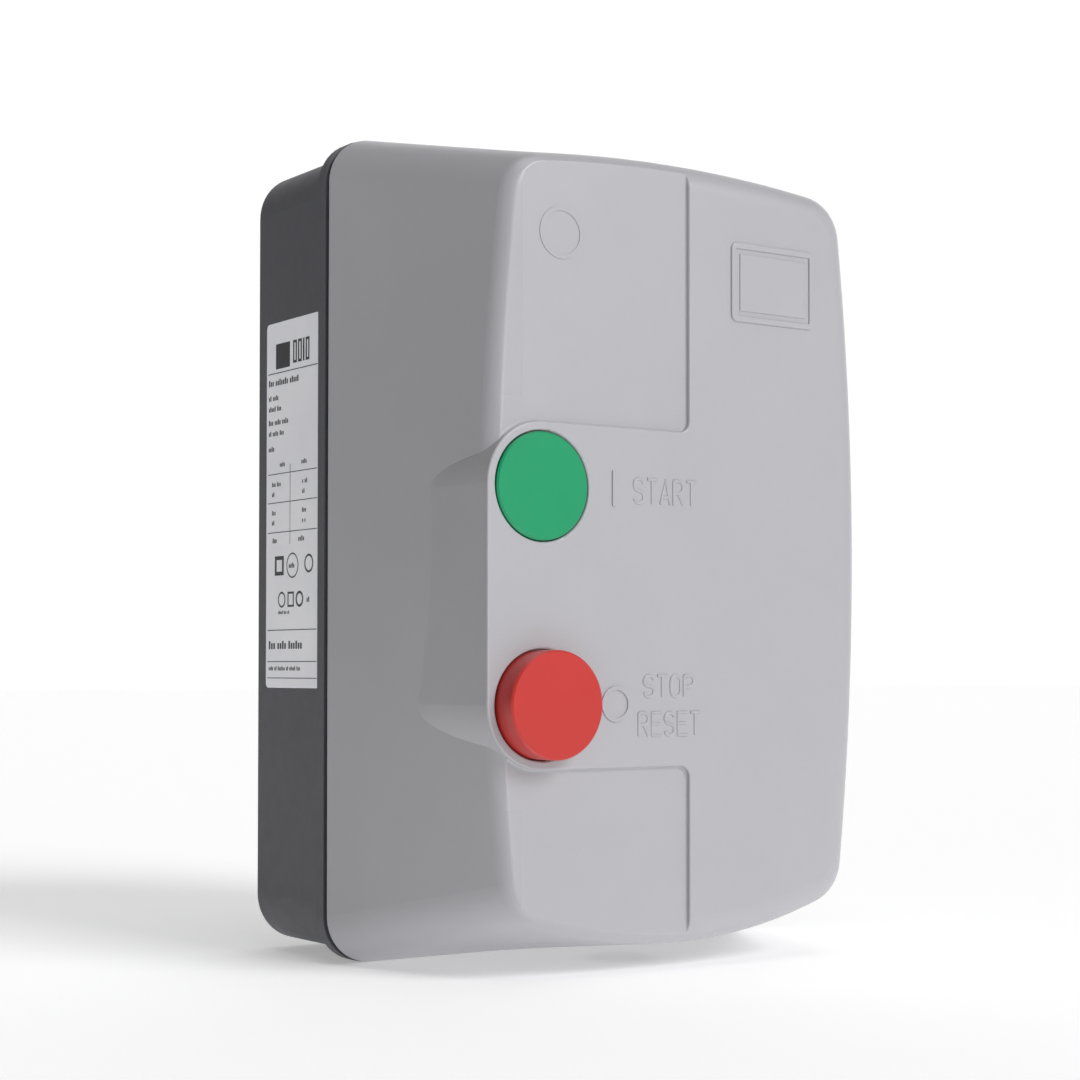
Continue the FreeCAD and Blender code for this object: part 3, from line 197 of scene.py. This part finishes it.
ALONG_Z, ALONG_X_AND_Z = (0.02, 0.02, 1), (0.02, 1, 0.02)
MATERIALS = {
    "cover_grey": moulded("cover_plastic", (0.385, 0.383, 0.406), 0.34, 2200, 0.03, 0.012, 0.01),
    "base_charcoal": moulded("base_plastic", (0.075, 0.076, 0.088), 0.5, 2200, 0.04),
    "green_cap": moulded("green_cap_plastic", (0.003, 0.265, 0.108), 0.40, 3200, 0.012, 0.03, 0.015),
    "red_cap": moulded("red_cap_plastic", (0.474, 0.026, 0.021), 0.40, 3200, 0.012, 0.03, 0.015),
    "label_white": moulded("label_film", (0.93, 0.93, 0.98), 0.35, 900, 0.006),
    "gasket_rubber": moulded("gasket_foam", (0.02, 0.02, 0.022), 0.85, 1500, 0.12),
    "zinc_steel": metal("zinc_plate", (0.60, 0.60, 0.585), 0.46, depth=0.004, tarnish=0.08, wear=0.03),
    "spring_steel": metal("spring_wire", (0.50, 0.50, 0.50), 0.28),
    "core_steel": metal("core_laminations", (0.30, 0.30, 0.31), 0.42, ALONG_Z, 2600, 0.08, 0.2),
    "contactor_grey": moulded("contactor_plastic", (0.48, 0.49, 0.47), 0.5),
    "contactor_dark": moulded("contactor_dark_plastic", (0.045, 0.046, 0.050), 0.45),
    "carrier_black": moulded("carrier_plastic", (0.03, 0.03, 0.032), 0.5),
    "bobbin_plastic": moulded("bobbin_plastic", (0.62, 0.56, 0.40), 0.45),
    "winding": metal("enamelled_winding", (0.45, 0.13, 0.04), 0.35, ALONG_X_AND_Z, 2600, 0.12),
    "copper": metal("contact_copper", (0.74, 0.36, 0.20), 0.34),
    "brass": metal("brass_turned", (0.72, 0.52, 0.22), 0.3),
    "bimetal": metal("bimetal_strip", (0.52, 0.47, 0.40), 0.35),
    "heater": metal("heater_wire", (0.28, 0.25, 0.22), 0.5, ALONG_Z, 1400, 0.2, 0.3),
    "slider_white": moulded("slider_plastic", (0.75, 0.73, 0.66), 0.5),
    "reset_blue": moulded("reset_plastic", (0.03, 0.09, 0.30), 0.4),
    "dial_yellow": moulded("dial_plastic", (0.70, 0.45, 0.03), 0.4),
    "wire_black": moulded("wire_insulation", (0.02, 0.02, 0.024), 0.4, 1800, 0.02),
}

# crests of the panels' left edges, in the cover's own metres: where the wider shading fades in
CREST_ACROSS = (-0.0440, -0.0448)
CREST_FORWARD = (-0.0865, -0.0900)
CREST_FROM_BOSS = (0.0365, 0.0445)
BOSS_HEIGHT = -0.0135


def round_crest(material, radius, polish):
    """Shade the crests of the two panels' left edges as a wider, worn rounding."""
    tree = material.node_tree
    shader = tree.nodes["Principled BSDF"]
    place = tree.nodes.new("ShaderNodeSeparateXYZ")
    tree.links.new(tree.nodes.new("ShaderNodeTexCoord").outputs["Object"], place.inputs[0])
    above_boss = arithmetic(tree, "SUBTRACT", place.outputs["Z"], BOSS_HEIGHT)
    from_boss = arithmetic(tree, "ABSOLUTE", above_boss, 0.0)
    mask = arithmetic(tree, "MULTIPLY", ramp(tree, place.outputs["X"], *CREST_ACROSS),
                      ramp(tree, place.outputs["Y"], *CREST_FORWARD))
    mask = arithmetic(tree, "MULTIPLY", mask, ramp(tree, from_boss, *CREST_FROM_BOSS))
    wide = tree.nodes.new("ShaderNodeBevel")
    wide.samples = 8
    wide.inputs["Radius"].default_value = radius
    plain = tree.nodes.new("ShaderNodeNewGeometry").outputs["Normal"]
    relief = shader.inputs["Normal"].links[0].from_node
    tree.links.new(mixed(tree, "VECTOR", mask, plain, wide.outputs["Normal"]), relief.inputs["Normal"])
    even = shader.inputs["Roughness"].links[0].from_socket
    tree.links.new(mixed(tree, "FLOAT", mask, even, polish), shader.inputs["Roughness"])


round_crest(MATERIALS["cover_grey"], 2.2 * MM, 0.27)


# ---------------------------------------------------------------- mesh helpers
EDGE_ROUND = 0.25          # width of the rounded edges of the softened nodes, millimetres
EDGE_SEGMENTS = 2
EDGE_ANGLE = 32            # only edges sharper than this are rounded, degrees
SAME_PLANE = 1             # faces within this many degrees are joined first


def add_piece(name, mesh, body, slot, *nodes, material=None):
    """Link a mesh as a piece that rides on a body and stands for the given CAD nodes."""
    piece = bpy.data.objects.new(name, mesh)
    bpy.context.scene.collection.objects.link(piece)
    mesh.materials.clear()
    mesh.materials.append(material or MATERIALS[slot])
    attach(piece, body)
    if nodes:
        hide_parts(*nodes)
    return piece


def mesh_from(form, name):
    """Mesh of a bmesh, which is freed, with its normals facing outwards."""
    bmesh.ops.recalc_face_normals(form, faces=form.faces)
    mesh = bpy.data.meshes.new(name)
    form.to_mesh(mesh)
    form.free()
    return mesh


def shade_smooth(mesh):
    for polygon in mesh.polygons:
        polygon.use_smooth = True


def softened(node):
    """Copy of a CAD node with its sharp edges rounded, in the node's place."""
    mesh = frame["nodes"][node].data.copy()
    mesh.name = f"{node}_mesh"
    form = bmesh.new()
    form.from_mesh(mesh)
    bmesh.ops.remove_doubles(form, verts=form.verts, dist=1e-6)
    bmesh.ops.dissolve_limit(form, angle_limit=math.radians(SAME_PLANE), verts=form.verts, edges=form.edges)
    form.to_mesh(mesh)
    form.free()
    shade_smooth(mesh)
    piece = add_piece(f"{node}_part", mesh, BODY_OF[node], SLOT_OF[node], node)
    bevel = piece.modifiers.new("edge_round", "BEVEL")
    bevel.width = EDGE_ROUND * MM
    bevel.segments = EDGE_SEGMENTS
    bevel.limit_method = "ANGLE"
    bevel.angle_limit = math.radians(EDGE_ANGLE)
    bevel.harden_normals = True
    bevel.use_clamp_overlap = True


def swept(name, lines, radius):
    """Mesh of round bars with closed ends that follow lists of points, in millimetres."""
    curve = bpy.data.curves.new(name, "CURVE")
    curve.dimensions = "3D"
    curve.bevel_depth = radius * MM
    curve.bevel_resolution = 2
    curve.use_fill_caps = True
    for points in lines:
        spline = curve.splines.new("POLY")
        spline.points.add(len(points) - 1)
        for target, point in zip(spline.points, points):
            target.co = (*[value * MM for value in point], 1)
    holder = bpy.data.objects.new(f"{name}_curve", curve)
    bpy.context.scene.collection.objects.link(holder)
    bpy.context.view_layer.update()
    mesh = bpy.data.meshes.new_from_object(holder.evaluated_get(bpy.context.evaluated_depsgraph_get()))
    bpy.data.objects.remove(holder)
    bpy.data.curves.remove(curve)
    mesh.name = name
    shade_smooth(mesh)
    return mesh


def laid_on(mesh, surface_y, relief):
    """Move bars that lie in the plane Y = 0 to a surface, and flatten them across it."""
    mesh.transform(Matrix.Translation((0, surface_y * MM, 0)) @ Matrix.Diagonal((1, relief, 1, 1)))


def rounded_outline(half_width, half_height, corner):
    """Points of a rounded rectangle about the origin, counterclockwise."""
    steps = 6
    points = []
    for quarter, (u, v) in enumerate([(1, 1), (-1, 1), (-1, -1), (1, -1)]):
        for step in range(steps + 1):
            turn = math.radians(90 * (quarter + step / steps))
            points.append((u * (half_width - corner) + corner * math.cos(turn),
                           v * (half_height - corner) + corner * math.sin(turn)))
    return points


def stepped_plate(name, place, half_width, half_height, corner, rings):
    """Closed plate of rounded rectangles: rings are (inset, height) from its back to its front."""
    sharpest = 0.1
    form = bmesh.new()
    loops = []
    for inset, height in rings:
        outline = rounded_outline(half_width - inset, half_height - inset, max(corner - inset, sharpest))
        loops.append([form.verts.new(place(u, v, height)) for u, v in outline])
    for lower, upper in zip(loops, loops[1:]):
        for i in range(len(lower)):
            j = (i + 1) % len(lower)
            form.faces.new((lower[i], lower[j], upper[j], upper[i]))
    form.faces.new(loops[0])
    form.faces.new(loops[-1])
    return mesh_from(form, name)


# ---------------------------------------------------------------- nodes whose CAD shape stays
KEPT = ("cover", "base_housing", "gasket", "start_button", "stop_button", "control_wires")
for node in KEPT:
    frame["nodes"][node].material_slots[0].material = MATERIALS[SLOT_OF[node]]


# ---------------------------------------------------------------- words raised on the cover
LETTER_STROKE = 0.38       # radius of a letter's bar, millimetres
LETTER_RELIEF = 0.8        # height of the bar above the face, for each millimetre of its radius
LETTER_GAP = 0.38          # space between two letters, for each millimetre of a letter's width
WORDS = (                  # text, then its left, right, bottom and top edges on the cover, millimetres
    ("START", -16.1, 1.2, 9.0, 14.4),
    ("STOP", -13.4, 0.5, -33.8, -29.1),
    ("RESET", -14.8, 2.2, -42.4, -37.3),
)


def arc(x, z, width, height, first, last, steps=8):
    """Points of an elliptical arc about (x, z); angles in degrees from the right, counterclockwise."""
    points = []
    for step in range(steps + 1):
        turn = math.radians(first + (last - first) * step / steps)
        points.append((x + width * math.cos(turn), z + height * math.sin(turn)))
    return points


# strokes of each letter in a box one wide and one high
STEM = [(0, 0), (0, 1)]
BOWL = [(0, 0.48), (0.5, 0.48)] + arc(0.5, 0.74, 0.5, 0.26, -90, 90) + [(0, 1)]
GLYPHS = {
    "S": [arc(0.5, 0.75, 0.5, 0.25, 15, 270, 12) + arc(0.5, 0.25, 0.5, 0.25, 90, -165, 12)],
    "T": [[(0, 1), (1, 1)], [(0.5, 1), (0.5, 0)]],
    "A": [[(0, 0), (0.5, 1), (1, 0)], [(0.2, 0.3), (0.8, 0.3)]],
    "R": [STEM, BOWL, [(0.5, 0.48), (1, 0)]],
    "P": [STEM, BOWL],
    "O": [arc(0.5, 0.7, 0.5, 0.3, 0, 180) + arc(0.5, 0.3, 0.5, 0.3, 180, 360) + [(1, 0.7)]],
    "E": [[(1, 1), (0, 1), (0, 0), (1, 0)], [(0, 0.52), (0.85, 0.52)]],
}


def raised_word(text, left, right, bottom, top):
    """Condensed plain capitals, half sunk in the cover's face."""
    pitch = (right - left) / (len(text) - LETTER_GAP / (1 + LETTER_GAP))
    letter = pitch / (1 + LETTER_GAP)
    lines = []
    for i, character in enumerate(text):
        for stroke in GLYPHS[character]:
            lines.append([(left + i * pitch + x * letter, 0, bottom + z * (top - bottom)) for x, z in stroke])
    name = f"word_{text.lower()}"
    mesh = swept(name, lines, LETTER_STROKE)
    laid_on(mesh, high("nameplate").y / MM, LETTER_RELIEF)
    add_piece(name, mesh, "cover", "cover_grey")


for word in WORDS:
    raised_word(*word)


# ---------------------------------------------------------------- blank nameplate
NAMEPLATE_CORNER = 1.6
# inset in millimetres and height as a part of the plate's rise: frame, its inner wall, lower panel
NAMEPLATE_RINGS = [(0, -0.2), (0, 0.7), (0.12, 0.93), (0.3, 1), (1.0, 1), (1.18, 0.93), (1.3, 0.7),
                   (1.3, 0.12), (2.5, 0.12), (2.5, 0.5), (2.6, 0.66), (2.8, 0.72)]


def make_nameplate():
    """Raised frame with a second, lower panel inside it, both blank."""
    centre, size = middle("nameplate"), high("nameplate") - low("nameplate")
    back = high("nameplate").y

    def place(u, v, height):
        return centre.x + u * MM, back - height * size.y, centre.z + v * MM

    mesh = stepped_plate("nameplate_panel", place, size.x / 2 / MM, size.z / 2 / MM, NAMEPLATE_CORNER,
                         NAMEPLATE_RINGS)
    add_piece("nameplate_panel", mesh, "cover", "cover_grey", "nameplate")


make_nameplate()


# ---------------------------------------------------------------- rating label
# everything in millimetres from the label's upper front corner: across, then down
LABEL_CORNER = 1.2
LABEL_RINGS = [(0, 0), (0, 0.8), (0.06, 0.96), (0.15, 1)]
INK_SUNK, INK_PROUD = 0.01, 0.02
LETTER_PITCH, BLOCK_WIDTH, WORD_SPACE, SHORT_BLOCK = 0.62, 0.42, 0.5, 0.74    # for each mm of height
LABEL_BARS = [                      # across, down, width, height
    (4.8, 5.2, 7.2, 6.0), (12.2, 34.3, 0.2, 19.0)]
LABEL_RULES = [                     # margin at each end, down, height
    (0.8, 12.0, 0.22), (0.9, 36.2, 0.2), (0.9, 43.1, 0.2), (0.9, 50.2, 0.2), (0.9, 73.5, 0.22),
    (0.9, 81.0, 0.2), (0.9, 84.9, 0.2)]
LABEL_BOXES = [                     # across, down, width, height, line
    (13.6, 5.2, 1.9, 5.4, 0.62), (16.1, 5.2, 1.9, 5.4, 0.62), (18.6, 5.2, 0.7, 5.4, 0.62),
    (19.9, 5.2, 1.9, 5.4, 0.62), (4.6, 56.0, 4.6, 4.6, 0.9), (11.2, 64.6, 3.2, 3.6, 0.5)]
LABEL_CIRCLES = [                   # across, down, radius, line
    (13.6, 58.4, 3.0, 0.35), (21.8, 58.2, 2.2, 0.5), (8.2, 66.4, 1.9, 0.45), (17.2, 66.4, 1.9, 0.6)]
LABEL_ROWS = [                      # across, down, height, length of each word
    (1.2, 13.6, 1.5, (3, 7, 5)), (1.2, 17.4, 1.2, (2, 4)), (1.2, 20.0, 1.2, (5, 3)),
    (1.2, 23.2, 1.3, (3, 4, 4)), (1.2, 25.9, 1.2, (2, 4, 3)), (1.2, 29.6, 1.2, (4,)),
    (7.0, 33.6, 1.1, (4,)), (18.0, 33.6, 1.1, (4,)),
    (3.0, 38.2, 1.1, (3, 3)), (18.4, 38.2, 1.1, (1, 2)), (3.0, 40.6, 1.1, (2,)), (18.4, 40.6, 1.1, (2,)),
    (3.0, 45.0, 1.1, (3,)), (18.4, 45.0, 1.1, (3,)), (3.0, 47.4, 1.1, (2,)), (18.4, 47.4, 1.1, (1, 1)),
    (3.4, 51.6, 1.2, (3,)), (16.6, 51.6, 1.2, (4,)), (11.8, 57.8, 1.2, (4,)), (20.8, 66.0, 1.2, (2,)),
    (6.4, 69.0, 0.8, (5, 3, 2)), (1.6, 76.2, 1.9, (3, 4, 6)), (1.6, 82.2, 1.0, (4, 2, 6, 2, 5, 3))]


def rectangle(across, down, width, height):
    return [(across, down), (across + width, down), (across + width, down + height), (across, down + height)]


def circle(across, down, radius):
    sides = 28
    turns = [2 * math.pi * i / sides for i in range(sides)]
    return [(across + radius * math.cos(turn), down + radius * math.sin(turn)) for turn in turns]


def blocks(across, down, height, words):
    """Outlines of a row of blocks in place of letters."""
    outlines = []
    for count in words:
        for i in range(count):
            tall = height * (1 if (i * 7 + count) % 3 == 0 else SHORT_BLOCK)
            outlines.append(rectangle(across, down + height - tall, height * BLOCK_WIDTH, tall))
            across += height * LETTER_PITCH
        across += height * WORD_SPACE
    return outlines


def print_shape(form, outline, hole=()):
    """Thin printed prism of an outline on the label, with an optional hole of as many points."""
    front, top, face = high("rating_label").y, high("rating_label").z, low("rating_label").x
    levels = (face + INK_SUNK * MM, face - INK_PROUD * MM)
    rings = [[form.verts.new((x, front - u * MM, top - v * MM)) for u, v in points]
             for points in (outline, hole or outline) for x in levels]
    if hole:
        pairs = ((0, 1), (1, 3), (3, 2), (2, 0))
    else:
        pairs = ((0, 1),)
        form.faces.new(rings[0])
        form.faces.new(rings[1])
    for a, b in pairs:
        for i in range(len(outline)):
            j = (i + 1) % len(outline)
            form.faces.new((rings[a][i], rings[a][j], rings[b][j], rings[b][i]))


def make_label():
    """White film with rounded corners."""
    centre, size = middle("rating_label"), high("rating_label") - low("rating_label")
    back = high("rating_label").x

    def place(u, v, height):
        return back - height * size.x, centre.y - u * MM, centre.z + v * MM

    mesh = stepped_plate("label_film", place, size.y / 2 / MM, size.z / 2 / MM, LABEL_CORNER, LABEL_RINGS)
    add_piece("label_film", mesh, "base", "label_white", "rating_label")


def make_label_print():
    """Ruled lines, blank marks and blocks in place of words."""
    form = bmesh.new()
    width = (high("rating_label").y - low("rating_label").y) / MM
    for bar in LABEL_BARS:
        print_shape(form, rectangle(*bar))
    for margin, down, height in LABEL_RULES:
        print_shape(form, rectangle(margin, down, width - 2 * margin, height))
    for across, down, wide, tall, line in LABEL_BOXES:
        print_shape(form, rectangle(across, down, wide, tall),
                    rectangle(across + line, down + line, wide - 2 * line, tall - 2 * line))
    for across, down, radius, line in LABEL_CIRCLES:
        print_shape(form, circle(across, down, radius), circle(across, down, radius - line))
    for row in LABEL_ROWS:
        for outline in blocks(*row):
            print_shape(form, outline)
    bmesh.ops.remove_doubles(form, verts=form.verts, dist=1e-7)
    ink = moulded("label_ink", (0.035, 0.035, 0.04), 0.45, 1500, 0.004)
    add_piece("label_print", mesh_from(form, "label_print"), "base", "label_white", material=ink)


make_label()
make_label_print()


# ---------------------------------------------------------------- scale of the current dial
DIAL_TURN = 135            # how far the dial turns each way, degrees
DIAL_MARKS = 4             # marks on each side of the middle one
MARK_NEAR, MARK_FAR, MARK_SHORTER = 5.6, 7.4, 0.6
MARK_RADIUS, MARK_RELIEF = 0.22, 0.5


def make_dial_scale():
    """Raised marks on the relay's cover round the current dial, as far as the dial turns each way."""
    x, z = centre_of("current_dial")
    lines = []
    for step in range(-DIAL_MARKS, DIAL_MARKS + 1):
        turn = math.radians(90 + DIAL_TURN * step / DIAL_MARKS)
        far = MARK_FAR if step % DIAL_MARKS == 0 else MARK_FAR - MARK_SHORTER
        lines.append([(x + length * math.cos(turn), 0, z + length * math.sin(turn))
                      for length in (MARK_NEAR, far)])
    mesh = swept("dial_scale", lines, MARK_RADIUS)
    laid_on(mesh, low("relay_cover").y / MM, MARK_RELIEF)
    add_piece("dial_scale", mesh, "base", "label_white")


make_dial_scale()


# ---------------------------------------------------------------- springs
PRESS, PULL = 4.0, 3.9     # travel of the caps and of the armature, millimetres
RETURN_SPRING_WIDTH = 4.0
CONTACT_SPRING_WIDTH = 4.6


def helix(centre, first, last, outer, wire, turns):
    """Points of a compression spring along Y, in millimetres, with a closed turn at each end."""
    per_turn = 20
    start, end = first + wire / 2, last - wire / 2
    radius = (outer - wire) / 2
    total = int(turns * per_turn)
    points = []
    for i in range(total + 1):
        turn = i / per_turn
        free = min(max((turn - 1) / (turns - 2), 0), 1)
        ends = min(turn, 1) + max(turn - turns + 1, 0)
        y = start + ends * wire + free * (end - start - 2 * wire)
        angle = 2 * math.pi * turn
        points.append((centre[0] + radius * math.cos(angle), y, centre[1] + radius * math.sin(angle)))
    return points


def make_springs(node, centres, outer, wire, turns, joint=None, travel=0.0):
    """Wire springs in place of a node's envelope; a joint gives them a mesh of their own, and the travel is
    not used.
    """
    first, last = low(node).y / MM, high(node).y / MM
    lines = [helix(centre, first, last, outer, wire, turns) for centre in centres]
    name = f"{node}_coils"
    piece = add_piece(name, swept(name, lines, wire / 2), BODY_OF[node], SLOT_OF[node], node)
    if joint:
        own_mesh(piece)


def return_centres():
    x = centre_of("return_springs")[0]
    inset = RETURN_SPRING_WIDTH / 2
    return [(x, low("return_springs").z / MM + inset), (x, high("return_springs").z / MM - inset)]


def contact_centres():
    x, z = centre_of("contact_springs")
    width = (high("contact_springs").x - low("contact_springs").x) / MM
    pitch = (width - CONTACT_SPRING_WIDTH) / 2
    return [(x + i * pitch, z) for i in (-1, 0, 1)]


SPRINGS = (                # node, centres, outer width, wire, turns, joint that presses on it, its travel
    ("start_spring", [centre_of("start_spring")], 9.4, 0.9, 5.5, "start_press", PRESS),
    ("stop_spring", [centre_of("stop_spring")], 9.4, 0.9, 7, "stop_press", PRESS),
    ("start_block_spring", [centre_of("start_block_spring")], 4.2, 0.5, 6, "start_plunger_slide", PRESS),
    ("reset_spring", [centre_of("reset_spring")], 8.2, 0.8, 5.5, "reset_slide", PRESS),
    ("return_springs", return_centres(), RETURN_SPRING_WIDTH, 0.6, 10, "armature_slide", PULL),
    ("contact_springs", contact_centres(), CONTACT_SPRING_WIDTH, 0.6, 6),
)
for spring in SPRINGS:
    make_springs(*spring)


# ---------------------------------------------------------------- the other nodes, with rounded edges
DONE = {"nameplate", "rating_label", *KEPT, *(spring[0] for spring in SPRINGS)}
for node in frame["nodes"]:
    if node not in DONE:
        softened(node)


# ---------------------------------------------------------------- stage, lights and camera
FLOOR_HALF = 6.0
FLOOR_WHITE, FLOOR_GLOW, FLOOR_ROUGHNESS = (0.90, 0.90, 0.90), 0.29, 0.8
BACKDROP_SIDE = (0.58, 0.81, 0.0)       # towards the middle of the white backdrop
BACKDROP_EDGE, BACKDROP_FULL = 0.45, 0.85
ROUND_LIGHT, BACKDROP_LIGHT = 0.14, 1.02
CAMERA_PLACE = (-0.3003, -0.4786, -0.02735)
CAMERA_TURN, CAMERA_TILT = 35.70, 1.395
CAMERA_LENS, CAMERA_SENSOR = 72.67, 36
CAMERA_SHIFT = (-0.0664, 0.0691)
CAMERA_NEAR = 0.01
LIGHTS = (                 # name, direction, strength, softness in degrees, whether it casts shadows
    ("key", (-0.3, 0.85, -0.62), 1.75, 25, True),
    ("front", (0.04, 1.0, 0.0), 1.2, 9, True),
    ("top", (0.0, 0.15, -1.0), 0.6, 40, True),
    ("under", (0.05, 0.45, 1.0), 0.6, 30, False),
)


def add_light(name, direction, strength, softness, shadow):
    """Soft light that shines along a direction."""
    data = bpy.data.lights.new(name, "SUN")
    data.energy = strength
    data.angle = math.radians(softness)
    data.use_shadow = shadow
    light = bpy.data.objects.new(name, data)
    bpy.context.scene.collection.objects.link(light)
    light.rotation_euler = Vector(direction).to_track_quat("-Z", "Y").to_euler()


def make_floor():
    """Pale floor under the object; its faint glow keeps the shadows as light as on a light table."""
    mesh = bpy.data.meshes.new("floor")
    level = cad_box[0][2]
    corners = [(u * FLOOR_HALF, v * FLOOR_HALF, level) for u, v in ((-1, -1), (1, -1), (1, 1), (-1, 1))]
    mesh.from_pydata(corners, [], [(0, 1, 2, 3)])
    floor = bpy.data.objects.new("floor", mesh)
    bpy.context.scene.collection.objects.link(floor)
    material, _, shader, _ = new_material("floor_white", FLOOR_WHITE, FLOOR_ROUGHNESS)
    shader.inputs["Emission Color"].default_value = (1, 1, 1, 1)
    shader.inputs["Emission Strength"].default_value = FLOOR_GLOW
    mesh.materials.append(material)


def make_world():
    """Studio surround: a white backdrop behind the object, and an even dimmer light all round."""
    world = bpy.data.worlds.new("studio")
    bpy.context.scene.world = world
    world.use_nodes = True
    tree = world.node_tree
    background = tree.nodes["Background"]
    background.inputs["Color"].default_value = (1, 1, 1, 1)
    direction = tree.nodes.new("ShaderNodeTexCoord").outputs["Generated"]
    facing = tree.nodes.new("ShaderNodeVectorMath")
    facing.operation = "DOT_PRODUCT"
    facing.inputs[1].default_value = BACKDROP_SIDE
    tree.links.new(direction, facing.inputs[0])
    level = ramp(tree, facing.outputs["Value"], BACKDROP_EDGE, BACKDROP_FULL, ROUND_LIGHT, BACKDROP_LIGHT)
    level.node.interpolation_type = "SMOOTHSTEP"
    tree.links.new(level, background.inputs["Strength"])


def make_camera():
    """Camera to the left of the front, a little under the middle, turned slightly upwards."""
    data = bpy.data.cameras.new("camera")
    data.sensor_width = CAMERA_SENSOR
    data.lens = CAMERA_LENS
    data.shift_x, data.shift_y = CAMERA_SHIFT
    data.clip_start = CAMERA_NEAR
    camera = bpy.data.objects.new("camera", data)
    bpy.context.scene.collection.objects.link(camera)
    camera.location = CAMERA_PLACE
    turn, tilt = math.radians(CAMERA_TURN), math.radians(CAMERA_TILT)
    look = Vector((math.sin(turn) * math.cos(tilt), math.cos(turn) * math.cos(tilt), math.sin(tilt)))
    camera.rotation_euler = look.to_track_quat("-Z", "Y").to_euler()
    bpy.context.scene.camera = camera


make_floor()
make_world()
make_camera()
for light in LIGHTS:
    add_light(*light)
bpy.context.scene.view_settings.view_transform = "Standard"
